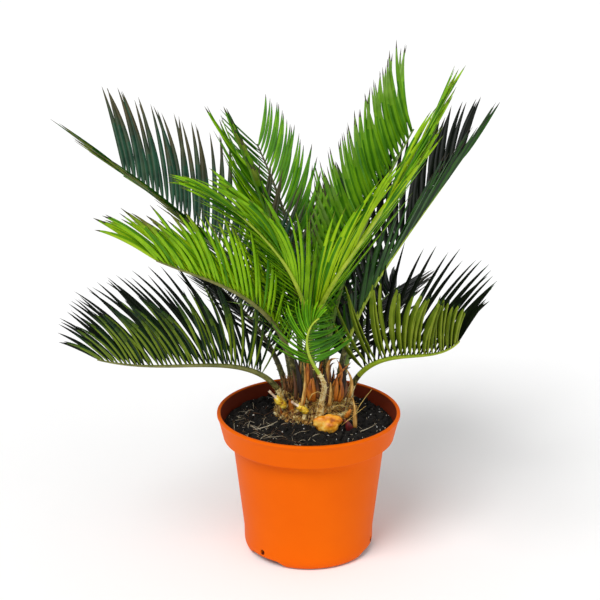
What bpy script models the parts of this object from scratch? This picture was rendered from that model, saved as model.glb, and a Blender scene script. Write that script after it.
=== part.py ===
"""Sago palm in a round nursery pot. Metres, +Z up, origin at the middle of the pot's underside.

The pot is a turned shell filled with compost, the trunk is a short terraced cone on the compost, and
every frond stands on one of its terraces. A frond is one closed blade: a four-sided rib with leaflets
drawn out of its two side faces, so its outline is cut to the rib between them.
"""
import bpy
import bmesh
import numpy as np
from math import cos, sin, pi, radians
from mathutils import Vector
from mathutils.bvhtree import BVHTree

# Pot
POT_HEIGHT = 0.103
RIM_RADIUS = 0.065
COLLAR_HEIGHT = 0.0185
COLLAR_FOOT_RADIUS = 0.0607
BODY_TOP_RADIUS = 0.0543
BODY_FOOT_RADIUS = 0.0455
FOOT_RADIUS = 0.0425
WALL = 0.0018
LIP = 0.0026
FOOT_LIFT = 0.0046
FLOOR_THICK = 0.0018
FOOT_ROUND = 0.0075
CENTRE_PAD_RADIUS = 0.014
ARCHES = 3
ARCH_FIRST = -135.0
ARCH_SPAN = 51.0
ARCH_RAMP = 11.0
ARCH_HEIGHT = 0.0040
DRAIN_RADIUS = 0.0020
DRAIN_HEIGHT = 0.0078
POT_SIDES = 96

# Compost
SOIL_LEVEL = 0.0940
SOIL_FLAT_RADIUS = 0.036
SOIL_DIP = 0.0012
GAP = 0.0003

# Trunk: terraces of the short stem, each a height and the radius it reaches out to
TRUNK_CENTRE = (0.005, 0.0145)
TRUNK_OVAL = 0.88
TRUNK_FLARE_RADIUS = 0.0292
TERRACES = {
    "outer": dict(height=0.1020, edge=0.0284, seat=0.0245),
    "middle": dict(height=0.1130, edge=0.0208, seat=0.0172),
    "inner": dict(height=0.1180, edge=0.0132, seat=0.0100),
}
TRUNK_SIDES = 40
HUSK_LENGTH = 0.013
HUSK_WIDTH = 0.0075
HUSK_THICK = 0.0016
OUTER_SCALES = (15, 67, 122, 175, 303, 325)
MIDDLE_SCALES = ((40, 1.3), (110, 1.2), (142, 1.3), (238, 1.5), (294, 1.4), (335, 1.9))

# Offset bulb at the foot of the trunk and the cut leaf bases beside it
BULB_CENTRE = (0.0149, -0.0178)
BULB_RADII = (0.0100, 0.0056, 0.0064)
STUB_WIDTH = 0.0065
STUB_THICK = 0.0040
STUB_LENGTH = 0.0170
STUBS = {
    "leaf_stub_left": dict(foot=(-0.0165, -0.0022, 0.1065), azimuth=190, rise=48),
    "leaf_stub_front": dict(foot=(-0.0015, -0.0095, 0.1060), azimuth=192, rise=38),
}

# Fronds
RIB_FOOT = 0.0022
RIB_TIP = 0.0005
LEAF_WIDTH = 0.0056
LEAF_THICK = 0.00085
LEAF_CROWDING = 0.78
LEAF_BEND_AT = 0.45
LEAF_CUTS = (1.0, 0.8, 0.62, 0.45)
CLEARANCE = 0.0005
RIB_STATIONS = 60

FROND_DEFAULTS = dict(sway=0, pitch=(90, 45, 0), bend=3, bare=0.2, pairs=15, face=None, leaf=0.065, first=0.5,
                      last=0.8, fall=0.45, spread=(60, 32), other=None, keel=25, roll=0, twist=0, curl=8,
                      droop=0.0)

# Angles are in degrees. seat: where on its terrace the frond stands. azimuth: the way it leans, 0 along
# +X, swinging by sway up to the tip. pitch: its rise at the foot, along its run, and what the tip adds.
# spread: leaflet to rib at the first pair and at the tip, other: the same for the second row where it
# differs. keel: how far both rows rise out of the frond's plane. roll: the whole blade turned about its
# rib, and twist: what the roll gains by the tip. fall: where the leaflets start to shorten. Lengths are
# in metres.
FRONDS = {
    "frond_left_high": dict(
        terrace="middle", seat=178, azimuth=160, sway=14, pitch=(90, 33, -1), bend=2, length=0.202,
        leaf=0.083, last=0.98, spread=(69, 47), other=(61, 39), keel=32, roll=33, twist=-27, curl=4),
    "frond_left_bright": dict(
        terrace="middle", seat=214, azimuth=230, sway=-6, pitch=(90, 17, 12), bend=2, length=0.190,
        leaf=0.066, last=0.95, spread=(70, 34), keel=68, roll=-19, curl=22),
    "frond_front_left": dict(
        terrace="middle", seat=262, azimuth=269, sway=-75, pitch=(90, 55, -14), bend=1.9, length=0.184, bare=0.24,
        leaf=0.070, last=0.6, spread=(80, 22), other=(26, 14), keel=45, roll=-36, curl=9, droop=0.6),
    "frond_folded_left": dict(
        terrace="inner", seat=165, azimuth=212, pitch=(90, 77, -11), bend=4, length=0.168,
        leaf=0.061, last=0.9, spread=(45, 20), keel=-28, curl=5, pairs=13),
    "frond_back_upright": dict(
        terrace="inner", seat=105, azimuth=118, sway=8, pitch=(90, 59, -12), bend=2, length=0.178,
        leaf=0.057, last=0.7, spread=(55, 37), keel=27, roll=16),
    "frond_right_upright": dict(
        terrace="inner", seat=45, azimuth=40, sway=-12, pitch=(90, 62, -6), length=0.192,
        leaf=0.070, last=1.05, spread=(62, 60), other=(58, 42), keel=58, roll=22, curl=14),
    "frond_folded_right": dict(
        terrace="inner", seat=215, azimuth=-66, sway=36, pitch=(90, 42, 26), bend=3.6, length=0.242, bare=0.22,
        leaf=0.104, first=1.0, fall=0.05, last=0.43, spread=(7, 4), other=(38, -3), keel=30, roll=12, pairs=13),
    "frond_right_high": dict(
        terrace="middle", seat=10, azimuth=21, sway=5, pitch=(90, 48, 2), length=0.190,
        leaf=0.083, last=0.58, spread=(62, 26), keel=43),
    "frond_left_low": dict(
        terrace="outer", seat=200, azimuth=200, sway=13, pitch=(90, -4, 28), bend=4, length=0.160,
        leaf=0.085, first=0.4, last=0.4, spread=(68, 48), other=(78, 44), keel=66, roll=-2, curl=12),
    "frond_right_low": dict(
        terrace="outer", seat=9, azimuth=-35, sway=-35, pitch=(90, 1, 39), bend=3.3, length=0.150,
        leaf=0.092, last=0.44, spread=(68, 33), other=(78, 30), keel=62, roll=-8),
    "frond_front_small": dict(
        terrace="outer", seat=-83, azimuth=-45, sway=-161, pitch=(90, -8, 153), bend=2.2, face=-90, length=0.096,
        bare=0.59, leaf=0.037, first=0.9, fall=0.05, last=0.3, spread=(80, 42), other=(118, 85), keel=32,
        curl=30, pairs=10),
    "frond_back_left_low": dict(
        terrace="outer", seat=150, azimuth=137, sway=-34, pitch=(90, 8, -12), length=0.150,
        leaf=0.052, last=0.7, spread=(60, 30), curl=9),
    "frond_back_right_low": dict(
        terrace="outer", seat=40, azimuth=62, sway=8, pitch=(90, 7, -10), length=0.135,
        leaf=0.060, last=0.7, spread=(65, 32), keel=22),
    "frond_back_low": dict(
        terrace="outer", seat=95, azimuth=92, sway=6, pitch=(90, 22, -16), length=0.180,
        leaf=0.064, last=0.7, spread=(62, 32), keel=18),
    "frond_back_middle": dict(
        terrace="middle", seat=75, azimuth=70, sway=4, pitch=(90, 34, -18), length=0.190,
        leaf=0.062, last=0.7, keel=18),
}

FROND_COLOURS = {
    "frond_left_high": (0.030, 0.090, 0.030),
    "frond_left_bright": (0.130, 0.300, 0.030),
    "frond_front_left": (0.070, 0.200, 0.022),
    "frond_folded_left": (0.055, 0.160, 0.030),
    "frond_back_upright": (0.055, 0.160, 0.022),
    "frond_right_upright": (0.060, 0.165, 0.030),
    "frond_folded_right": (0.130, 0.300, 0.030),
    "frond_right_high": (0.045, 0.110, 0.025),
    "frond_left_low": (0.050, 0.100, 0.022),
    "frond_right_low": (0.060, 0.120, 0.022),
    "frond_front_small": (0.070, 0.170, 0.025),
    "frond_back_left_low": (0.020, 0.045, 0.014),
    "frond_back_right_low": (0.020, 0.045, 0.014),
    "frond_back_low": (0.035, 0.090, 0.020),
    "frond_back_middle": (0.040, 0.100, 0.020),
}


def material(name, colour, roughness):
    """A Principled material with one colour and roughness."""
    made = bpy.data.materials.new(name)
    made.use_nodes = True
    shader = made.node_tree.nodes["Principled BSDF"]
    shader.inputs["Base Color"].default_value = (*colour, 1.0)
    shader.inputs["Roughness"].default_value = roughness
    shader.inputs["Metallic"].default_value = 0.0
    return made


def add_object(name, vertices, faces, finish, smooth=True):
    """One named object from vertices and faces that all turn the same way, turned to point out."""
    mesh = bpy.data.meshes.new(name)
    mesh.from_pydata([tuple(v) for v in vertices], [], faces)
    shell = bmesh.new()
    shell.from_mesh(mesh)
    if shell.calc_volume(signed=True) < 0:
        bmesh.ops.reverse_faces(shell, faces=shell.faces)
    shell.to_mesh(mesh)
    shell.free()
    mesh.materials.append(finish)
    if smooth:
        mesh.shade_smooth()
        mesh.set_sharp_from_angle(angle=radians(35))
    made = bpy.data.objects.new(name, mesh)
    bpy.context.scene.collection.objects.link(made)
    return made


def turned(profile, sides, centre=(0.0, 0.0), oval=1.0):
    """A profile of (radius, height) turned about an upright axis, flattened along Y, its poles closed.

    A profile can be a list, or a function that gives the list for each angle."""
    angles = [2 * pi * k / sides for k in range(sides)]
    profiles = [profile(angle) if callable(profile) else profile for angle in angles]
    vertices = []
    rings = []
    for step in range(len(profiles[0])):
        if profiles[0][step][0] == 0.0:
            rings.append([len(vertices)])
            vertices.append((centre[0], centre[1], profiles[0][step][1]))
            continue
        rings.append(list(range(len(vertices), len(vertices) + sides)))
        for angle, own in zip(angles, profiles):
            radius, height = own[step]
            vertices.append((centre[0] + radius * cos(angle), centre[1] + radius * oval * sin(angle), height))
    faces = []
    for low, high in zip(rings, rings[1:]):
        for k in range(sides):
            after = (k + 1) % sides
            if len(low) == 1:
                faces.append((low[0], high[after], high[k]))
            elif len(high) == 1:
                faces.append((low[k], low[after], high[0]))
            else:
                faces.append((low[k], low[after], high[after], high[k]))
    return vertices, faces


def boolean(target, others, operation, solver="EXACT"):
    """Applies one Boolean of a collection of objects to the target, then removes those objects."""
    group = bpy.data.collections.new("operands")
    bpy.context.scene.collection.children.link(group)
    for other in others:
        for holder in list(other.users_collection):
            holder.objects.unlink(other)
        group.objects.link(other)
    step = target.modifiers.new("join", "BOOLEAN")
    step.operation = operation
    step.operand_type = "COLLECTION"
    step.collection = group
    step.solver = solver
    bpy.context.view_layer.update()
    evaluated = target.evaluated_get(bpy.context.evaluated_depsgraph_get())
    result = bpy.data.meshes.new_from_object(evaluated)
    target.modifiers.remove(step)
    target.data = result
    for other in others:
        bpy.data.objects.remove(other)
    bpy.data.collections.remove(group)


def pot_inner_radius(height):
    """The bore of the pot at a height, on the body or in the collar."""
    step = POT_HEIGHT - COLLAR_HEIGHT
    if height <= step:
        share = height / step
        return BODY_FOOT_RADIUS + (BODY_TOP_RADIUS - BODY_FOOT_RADIUS) * share - WALL
    share = (height - step) / COLLAR_HEIGHT
    return COLLAR_FOOT_RADIUS + (RIM_RADIUS - LIP - COLLAR_FOOT_RADIUS + WALL) * share - WALL


def arch_share(angle):
    """0 on a foot of the pot, 1 in the middle of an arch between two feet, ramped at its ends."""
    period = 360.0 / ARCHES
    away = abs((np.degrees(angle) - ARCH_FIRST + period / 2) % period - period / 2)
    ramp = min(max((ARCH_SPAN / 2 - away) / ARCH_RAMP, 0.0), 1.0)
    return ramp * ramp * (3 - 2 * ramp)


def pot_profile(angle):
    """The pot's section at an angle: centre pad, raised floor, foot or arch, body, collar, lip, inside."""
    step = POT_HEIGHT - COLLAR_HEIGHT
    floor_top = FOOT_LIFT + FLOOR_THICK
    lift = ARCH_HEIGHT * arch_share(angle)
    first_turn = float(np.arccos(1 - lift / FOOT_ROUND))
    corner = []
    for k in range(4):
        turn = first_turn + (pi / 2 - first_turn) * k / 3
        corner.append((FOOT_RADIUS + (BODY_FOOT_RADIUS + 0.0008 - FOOT_RADIUS) * sin(turn),
                       FOOT_ROUND * (1 - cos(turn))))
    return [
        (0.0, 0.0),
        (CENTRE_PAD_RADIUS, 0.0),
        (CENTRE_PAD_RADIUS + 0.001, FOOT_LIFT),
        (FOOT_RADIUS - 0.0038, FOOT_LIFT),
        (corner[0][0] - 0.0026, corner[0][1]),
        *corner,
        (BODY_TOP_RADIUS, step),
        (COLLAR_FOOT_RADIUS - 0.0008, step),
        (COLLAR_FOOT_RADIUS, step + 0.0008),
        (RIM_RADIUS - 0.0006, POT_HEIGHT - 0.0022),
        (RIM_RADIUS, POT_HEIGHT - 0.0012),
        (RIM_RADIUS - 0.0004, POT_HEIGHT),
        (RIM_RADIUS - LIP, POT_HEIGHT),
        (pot_inner_radius(step + 0.001), step + 0.0018),
        (BODY_TOP_RADIUS - WALL, step + 0.0006),
        (pot_inner_radius(floor_top), floor_top),
        (0.0, floor_top),
    ]


def make_pot(finish):
    """A thin turned shell on three feet with arches between them, drained through its wall by each arch."""
    pot = add_object("pot", *turned(pot_profile, POT_SIDES), finish)
    drains = []
    for arch in range(ARCHES):
        angle = radians(ARCH_FIRST + 360.0 / ARCHES * arch)
        bpy.ops.mesh.primitive_cylinder_add(
            vertices=12, radius=DRAIN_RADIUS, depth=0.012,
            location=(BODY_FOOT_RADIUS * cos(angle), BODY_FOOT_RADIUS * sin(angle), DRAIN_HEIGHT),
            rotation=(0.0, pi / 2, angle))
        drains.append(bpy.context.object)
    boolean(pot, drains, "DIFFERENCE")


def make_soil(finish):
    """The compost that fills the pot, a flat pad under the trunk and a slight dip to the wall."""
    step = POT_HEIGHT - COLLAR_HEIGHT
    floor_top = FOOT_LIFT + FLOOR_THICK + GAP
    edge_level = SOIL_LEVEL - SOIL_DIP
    profile = [
        (0.0, floor_top),
        (pot_inner_radius(floor_top) - GAP - 0.0002, floor_top),
        (BODY_TOP_RADIUS - WALL - GAP - 0.0002, step + 0.0002),
        (BODY_TOP_RADIUS - WALL - GAP - 0.0002, step + 0.0024),
        (pot_inner_radius(step + 0.004) - GAP - 0.0004, step + 0.0024),
        (pot_inner_radius(edge_level) - GAP - 0.0006, edge_level),
        (SOIL_FLAT_RADIUS + 0.012, SOIL_LEVEL - 0.0004),
        (SOIL_FLAT_RADIUS + 0.006, SOIL_LEVEL),
        (0.0, SOIL_LEVEL),
    ]
    add_object("soil", *turned(profile, POT_SIDES), finish)


def husk(angle, radius, foot, rise, size):
    """One pointed scale of an old leaf base, sunk into the trunk and leaning out."""
    out = np.array([cos(angle), sin(angle), 0.0])
    side = np.array([-sin(angle), cos(angle), 0.0])
    centre = np.array([*TRUNK_CENTRE, 0.0]) + out * radius * np.array([1.0, TRUNK_OVAL, 1.0])
    vertices = []
    for share, wide, thick in ((0.0, 1.0, 1.6), (0.45, 0.85, 1.2), (0.8, 0.5, 0.8), (1.0, 0.15, 0.5)):
        lean = 0.0016 * sin(share * pi * 0.75)
        middle = centre + out * lean + np.array([0.0, 0.0, foot + rise * share])
        for across, deep in ((-1, -1), (1, -1), (1, 1), (-1, 1)):
            vertices.append(middle + side * across * HUSK_WIDTH * size * wide / 2
                            + out * deep * HUSK_THICK * thick / 2)
    faces = [(0, 3, 2, 1), (12, 13, 14, 15)]
    for ring in range(3):
        for k in range(4):
            after = (k + 1) % 4
            faces.append((ring * 4 + k, ring * 4 + after, ring * 4 + 4 + after, ring * 4 + 4 + k))
    return vertices, faces


def make_trunk(finish):
    """The stem: flared foot cut flat on the compost, three terraces, scales standing round each."""
    foot = SOIL_LEVEL + GAP
    outer, middle, inner = (TERRACES[key] for key in ("outer", "middle", "inner"))
    profile = [
        (0.0, foot),
        (TRUNK_FLARE_RADIUS, foot),
        (TRUNK_FLARE_RADIUS - 0.0006, foot + 0.003),
        (outer["edge"], outer["height"] - 0.003),
        (outer["edge"] - 0.001, outer["height"]),
        (middle["edge"] + 0.0005, outer["height"]),
        (middle["edge"], middle["height"] - 0.002),
        (middle["edge"] - 0.001, middle["height"]),
        (inner["edge"] + 0.0002, middle["height"]),
        (inner["edge"], inner["height"] - 0.001),
        (inner["edge"] - 0.001, inner["height"]),
        (0.0, inner["height"]),
    ]
    trunk = add_object("trunk", *turned(profile, TRUNK_SIDES, TRUNK_CENTRE, TRUNK_OVAL), finish)
    scales = []
    for seat in OUTER_SCALES:
        parts = husk(radians(seat), outer["edge"] - 0.0012, 0.0965, HUSK_LENGTH, 1.0)
        scales.append(add_object("scale", *parts, finish))
    for seat, length in MIDDLE_SCALES:
        parts = husk(radians(seat), middle["edge"] - 0.0010, 0.1035, HUSK_LENGTH * length, 0.9)
        scales.append(add_object("scale", *parts, finish))
    boolean(trunk, scales, "UNION")


def make_bulb(finish):
    """The smooth swollen offset that sits on the compost against the trunk's front."""
    vertices, faces = turned([(0.0, -1.0), (0.62, -0.78), (0.92, -0.4), (1.0, 0.0), (0.9, 0.45),
                              (0.6, 0.8), (0.0, 1.0)], 20)
    sunk = 0.9
    base = SOIL_LEVEL + GAP + BULB_RADII[2] * sunk
    placed = []
    for x, y, z in vertices:
        direction = float(np.arctan2(y, x)) if x or y else 0.0
        lobe = 1 + 0.10 * cos(2 * direction + 0.6)
        z = max(z, -sunk)
        placed.append((BULB_CENTRE[0] + x * BULB_RADII[0] * lobe, BULB_CENTRE[1] + y * BULB_RADII[1] * lobe,
                       base + z * BULB_RADII[2]))
    add_object("offset_bulb", placed, faces, finish)


def make_stub(name, foot, azimuth, rise, finish):
    """A cut leaf base: a short wedge with a squared end, leaning away from the trunk."""
    turn = radians(azimuth)
    lean = radians(rise)
    along = np.array([cos(lean) * cos(turn), cos(lean) * sin(turn), sin(lean)])
    side = np.array([-sin(turn), cos(turn), 0.0])
    up = np.cross(along, side) * -1
    vertices = []
    for share, wide, thick in ((0.0, 0.75, 0.8), (0.5, 1.0, 1.0), (0.85, 0.8, 0.8), (1.0, 0.5, 0.55)):
        middle = np.array(foot) + along * STUB_LENGTH * share
        for across, deep in ((-1, -1), (1, -1), (1, 1), (-1, 1)):
            vertices.append(middle + side * across * STUB_WIDTH * wide / 2 + up * deep * STUB_THICK * thick / 2)
    faces = [(0, 3, 2, 1), (12, 13, 14, 15)]
    for ring in range(3):
        for k in range(4):
            after = (k + 1) % 4
            faces.append((ring * 4 + k, ring * 4 + after, ring * 4 + 4 + after, ring * 4 + 4 + k))
    add_object(name, vertices, faces, finish, smooth=False)


def rib_line(frond):
    """Stations along the rib from 0 to 1 with their points, tangents, sides and normals."""
    terrace = TERRACES[frond["terrace"]]
    seat = radians(frond["seat"])
    foot = np.array([TRUNK_CENTRE[0] + terrace["seat"] * cos(seat),
                     TRUNK_CENTRE[1] + terrace["seat"] * TRUNK_OVAL * sin(seat), terrace["height"] + GAP])
    s = np.linspace(0.0, 1.0, RIB_STATIONS + 1)
    start, lean, lift = frond["pitch"]
    pitch = np.radians(lean + (start - lean) * (1 - s) ** frond["bend"] + lift * s ** 2)
    azimuth = np.radians(frond["azimuth"] + frond["sway"] * s)
    tangents = np.stack([np.cos(pitch) * np.cos(azimuth), np.cos(pitch) * np.sin(azimuth), np.sin(pitch)], 1)
    steps = (tangents[1:] + tangents[:-1]) / 2 * frond["length"] / RIB_STATIONS
    points = np.vstack([foot, foot + np.cumsum(steps, axis=0)])
    facing = azimuth if frond["face"] is None else np.full_like(s, radians(frond["face"]))
    level = np.stack([np.sin(facing), -np.cos(facing), np.zeros_like(s)], 1)
    normals = np.cross(level, tangents)
    normals /= np.linalg.norm(normals, axis=1)[:, None]
    sides = np.cross(tangents, normals)
    roll = np.radians(frond["roll"] + frond["twist"] * s)[:, None]
    rolled_sides = np.cos(roll) * sides + np.sin(roll) * normals
    rolled_normals = np.cos(roll) * normals - np.sin(roll) * sides
    return s, points, tangents, rolled_sides, rolled_normals


def at_station(line, share):
    """The point, tangent, side and normal at one share of the rib's length."""
    return [np.array([np.interp(share, line[0], values[:, axis]) for axis in range(3)]) for values in line[1:]]


def leaf_share(frond, q):
    """A leaflet's length as a share of the longest, q running 0 to 1 over the leafy part."""
    rising = frond["first"] + (1 - frond["first"]) * sin(min(q / 0.22, 1.0) * pi / 2)
    falling = 1 - (1 - frond["last"]) * max((q - frond["fall"]) / (1 - frond["fall"]), 0.0) ** 1.8
    return rising * falling


def leaf_line(frond, line, q, side, length):
    """The three points of a leaflet's middle line, and the width direction at each."""
    share = frond["bare"] + (1 - frond["bare"]) * q
    point, tangent, across, normal = at_station(line, share)
    first, last = frond["other"] if frond["other"] and side < 0 else frond["spread"]
    forward = radians(last + (first - last) * (1 - q) ** 2)
    keel = radians(frond["keel"])
    out = cos(keel) * side * across + sin(keel) * normal
    points = [point]
    widths = []
    here = 0.0
    for reach in (LEAF_BEND_AT, 1.0):
        u = (here + reach) / 2
        angle = forward - radians(frond["curl"]) * u
        way = cos(angle) * tangent + sin(angle) * out
        way = way - np.array([0.0, 0.0, frond["droop"] * u])
        way /= np.linalg.norm(way)
        points.append(points[-1] + way * length * (reach - here))
        wide = tangent - np.dot(tangent, way) * way
        widths.append((wide / np.linalg.norm(wide), way))
        here = reach
    return points, widths


def leaf_vertices(points, widths, width, thick):
    """The blade's section of four points at its bend, and its tip."""
    wide, way = widths[0]
    flat = np.cross(wide, way)
    centre = points[1]
    ring = [centre - wide * width / 2 + flat * thick / 2, centre - wide * width / 2 - flat * thick / 2,
            centre + wide * width / 2 - flat * thick / 2, centre + wide * width / 2 + flat * thick / 2]
    return ring, points[2]


def rib_half_size(share):
    """Half the rib's side at a share of its length."""
    return RIB_TIP + (RIB_FOOT - RIB_TIP) * (1 - share)


def rib_ring(line, share):
    """The rib's four corners at a share of its length: lower and upper left, upper and lower right."""
    point, _, across, normal = at_station(line, share)
    half = rib_half_size(share)
    return [point + across * half - normal * half, point + across * half + normal * half,
            point - across * half + normal * half, point - across * half - normal * half]


def rib_shares(frond):
    """Where the rib has rings: some on the bare stalk, then two for each pair of leaflets."""
    shares = [frond["bare"] * k / 5 for k in range(5)]
    spacing = (1 - frond["bare"]) / frond["pairs"]
    roots = []
    for pair in range(frond["pairs"]):
        middle = frond["bare"] + spacing * (pair + 0.4)
        half = min(0.30 * spacing, 0.5 * LEAF_WIDTH / frond["length"])
        roots.append((len(shares), pair))
        shares += [middle - half, middle + half]
    shares.append(1.0)
    return shares, roots


def tree_of(vertices, faces):
    """A search tree over triangles and quads."""
    return BVHTree.FromPolygons([Vector(v) for v in vertices], faces)


def blade_test_shape(root, ring_points, tip, margin):
    """A leaflet made thicker and wider by a margin, closed, to be tried against its neighbours."""
    grown = []
    for ring in (root, ring_points):
        middle = sum(ring) / 4
        for corner in ring:
            way = corner - middle
            grown.append(corner + way / np.linalg.norm(way) * margin * 1.5)
    beyond = tip + (tip - sum(ring_points) / 4) / np.linalg.norm(tip - sum(ring_points) / 4) * margin
    vertices = grown[4:] + [beyond] + grown[:4]
    faces = [(5 + k, 5 + (k + 1) % 4, (k + 1) % 4, k) for k in range(4)]
    faces += [(k, (k + 1) % 4, 4) for k in range(4)]
    return tree_of(vertices, faces)


def make_frond(name, frond, line, obstacles, finish):
    """The rib and its leaflets as one closed blade; a leaflet that would touch anything is cut or skipped."""
    shares, roots = rib_shares(frond)
    vertices = [corner for share in shares for corner in rib_ring(line, share)]
    last = 4 * (len(shares) - 1)
    faces = [(3, 2, 1, 0), (last, last + 1, last + 2, last + 3)]
    leafy = {index for index, _ in roots}
    for ring in range(len(shares) - 1):
        a = 4 * ring
        b = a + 4
        faces.append((a + 1, a + 2, b + 2, b + 1))
        faces.append((a + 3, a, b, b + 3))
        if ring not in leafy:
            faces.append((a, a + 1, b + 1, b))
            faces.append((a + 2, a + 3, b + 3, b + 2))
    skipped = 0
    spacing = (1 - frond["bare"]) * frond["length"] / frond["pairs"]
    for ring, pair in roots:
        q = (pair + 0.4) / frond["pairs"]
        a = 4 * ring
        b = a + 4
        for side in (1, -1):
            root = [a, a + 1, b + 1, b] if side > 0 else [a + 2, a + 3, b + 3, b + 2]
            corners = [vertices[k] for k in root]
            placed = None
            for cut in LEAF_CUTS:
                length = frond["leaf"] * leaf_share(frond, q) * cut
                points, widths = leaf_line(frond, line, q, side, length)
                angle = np.arccos(np.clip(np.dot(widths[0][1], at_station(line, shares[ring])[1]), -1, 1))
                width = min(LEAF_WIDTH, LEAF_CROWDING * spacing * sin(max(angle, 0.2)))
                section, tip = leaf_vertices(points, widths, width, LEAF_THICK)
                trial = blade_test_shape(corners, section, tip, CLEARANCE)
                if not any(trial.overlap(other) for other in obstacles):
                    placed = section, tip
                    break
            if placed is None:
                skipped += 1
                faces.append(tuple(root))
                continue
            section, tip = placed
            start = len(vertices)
            vertices += [*section, tip]
            for k in range(4):
                after = (k + 1) % 4
                faces.append((root[k], root[after], start + after, start + k))
                faces.append((start + k, start + after, start + 4))
    add_object(name, vertices, faces, finish)
    return skipped, tree_of(vertices, faces)


def scene_tree(name):
    """A search tree over one object's mesh."""
    mesh = bpy.data.objects[name].data
    return tree_of([v.co for v in mesh.vertices], [tuple(p.vertices) for p in mesh.polygons])


def rib_tree(frond, line):
    """A search tree over a bare rib, for leaflets that are placed before that frond is."""
    shares, _ = rib_shares(frond)
    vertices = [corner for share in shares for corner in rib_ring(line, share)]
    faces = []
    for ring in range(len(shares) - 1):
        a = 4 * ring
        for k in range(4):
            after = (k + 1) % 4
            faces.append((a + k, a + after, a + 4 + after, a + 4 + k))
    return tree_of(vertices, faces)


def make_fronds():
    """Every frond, each clear of the pot, the compost, the trunk and all the others."""
    solids = [scene_tree(name) for name in ("pot", "soil", "trunk", "offset_bulb", "leaf_stub_left",
                                            "leaf_stub_front")]
    fronds = {name: {**FROND_DEFAULTS, **own} for name, own in FRONDS.items()}
    lines = {name: rib_line(frond) for name, frond in fronds.items()}
    waiting = {name: rib_tree(frond, lines[name]) for name, frond in fronds.items()}
    for name, frond in fronds.items():
        del waiting[name]
        finish = material(name, FROND_COLOURS[name], 0.5)
        skipped, tree = make_frond(name, frond, lines[name], solids + list(waiting.values()), finish)
        solids.append(tree)
        print(name, "leaflets skipped:", skipped)


for old in list(bpy.data.objects):
    bpy.data.objects.remove(old)

make_pot(material("pot", (0.90, 0.16, 0.008), 0.42))
make_soil(material("soil", (0.012, 0.009, 0.007), 0.95))
make_trunk(material("trunk", (0.23, 0.10, 0.030), 0.85))
make_bulb(material("offset_bulb", (0.72, 0.24, 0.025), 0.55))
for stub, place in STUBS.items():
    make_stub(stub, **place, finish=material(stub, (0.60, 0.36, 0.06), 0.7))
make_fronds()
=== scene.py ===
from math import acos, cos, exp, pi, radians, sin
import bpy
import bmesh
import numpy as np
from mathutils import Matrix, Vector, noise


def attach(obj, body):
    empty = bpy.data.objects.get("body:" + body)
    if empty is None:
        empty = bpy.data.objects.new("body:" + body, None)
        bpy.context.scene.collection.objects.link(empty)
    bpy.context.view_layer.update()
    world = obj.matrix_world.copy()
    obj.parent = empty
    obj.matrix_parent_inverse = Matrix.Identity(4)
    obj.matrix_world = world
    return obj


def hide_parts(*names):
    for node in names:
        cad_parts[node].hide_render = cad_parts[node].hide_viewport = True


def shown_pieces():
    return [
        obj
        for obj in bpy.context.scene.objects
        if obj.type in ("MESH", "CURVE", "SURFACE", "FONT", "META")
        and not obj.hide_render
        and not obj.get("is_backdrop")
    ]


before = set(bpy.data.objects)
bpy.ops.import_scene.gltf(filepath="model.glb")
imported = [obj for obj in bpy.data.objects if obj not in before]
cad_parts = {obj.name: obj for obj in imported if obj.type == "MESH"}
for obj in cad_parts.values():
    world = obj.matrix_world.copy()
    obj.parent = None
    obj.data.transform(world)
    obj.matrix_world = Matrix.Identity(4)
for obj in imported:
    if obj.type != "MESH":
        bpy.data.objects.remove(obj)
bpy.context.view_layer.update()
print("frame loaded")


# Colours are given as seen on a screen, 0 to 255
def shade(red, green, blue):
    def linear(value):
        value /= 255
        return value / 12.92 if value <= 0.04045 else ((value + 0.055) / 1.055) ** 2.4
    return (linear(red), linear(green), linear(blue), 1.0)


def wire(tree, node, key, value):
    if isinstance(value, bpy.types.NodeSocket):
        tree.links.new(value, node.inputs[key])
    else:
        node.inputs[key].default_value = value


def addNode(tree, kind, inputs=None, **settings):
    node = tree.nodes.new(kind)
    for key, value in settings.items():
        setattr(node, key, value)
    for key, value in (inputs or {}).items():
        wire(tree, node, key, value)
    return node


# A finish whose colour drifts over the piece between the given tones, with grain in its gloss and surface
def makeFinish(name, tones, grain, roughness, bump=0.0, bumpGrain=None, specular=0.5, stretch=(1, 1, 1),
               detail=5.0, sheen=0.0, bumpDepth=0.0004):
    material = bpy.data.materials.new(name)
    material.use_nodes = True
    tree = material.node_tree
    shader = tree.nodes["Principled BSDF"]
    place = addNode(tree, "ShaderNodeTexCoord").outputs["Object"]
    mapped = addNode(tree, "ShaderNodeMapping", {"Vector": place, "Scale": stretch}).outputs["Vector"]
    drift = addNode(tree, "ShaderNodeTexNoise", {"Vector": mapped, "Scale": grain, "Detail": detail,
                                                 "Roughness": 0.6})
    ramp = addNode(tree, "ShaderNodeValToRGB", {"Fac": drift.outputs["Fac"]})
    while len(ramp.color_ramp.elements) < len(tones):
        ramp.color_ramp.elements.new(0.5)
    for element, (share, *tone) in zip(ramp.color_ramp.elements, tones):
        element.position = share
        element.color = shade(*tone)
    tree.links.new(ramp.outputs["Color"], shader.inputs["Base Color"])
    gloss = addNode(tree, "ShaderNodeMapRange", {"Value": drift.outputs["Fac"], "To Min": roughness[0],
                                                 "To Max": roughness[1]})
    tree.links.new(gloss.outputs["Result"], shader.inputs["Roughness"])
    shader.inputs["Specular IOR Level"].default_value = specular
    if sheen:
        shader.inputs["Sheen Weight"].default_value = sheen
    if bump:
        fine = addNode(tree, "ShaderNodeTexNoise", {"Vector": mapped, "Scale": bumpGrain, "Detail": 6.0})
        relief = addNode(tree, "ShaderNodeBump", {"Height": fine.outputs["Fac"], "Strength": bump,
                                                  "Distance": bumpDepth})
        tree.links.new(relief.outputs["Normal"], shader.inputs["Normal"])
    return material


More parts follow.
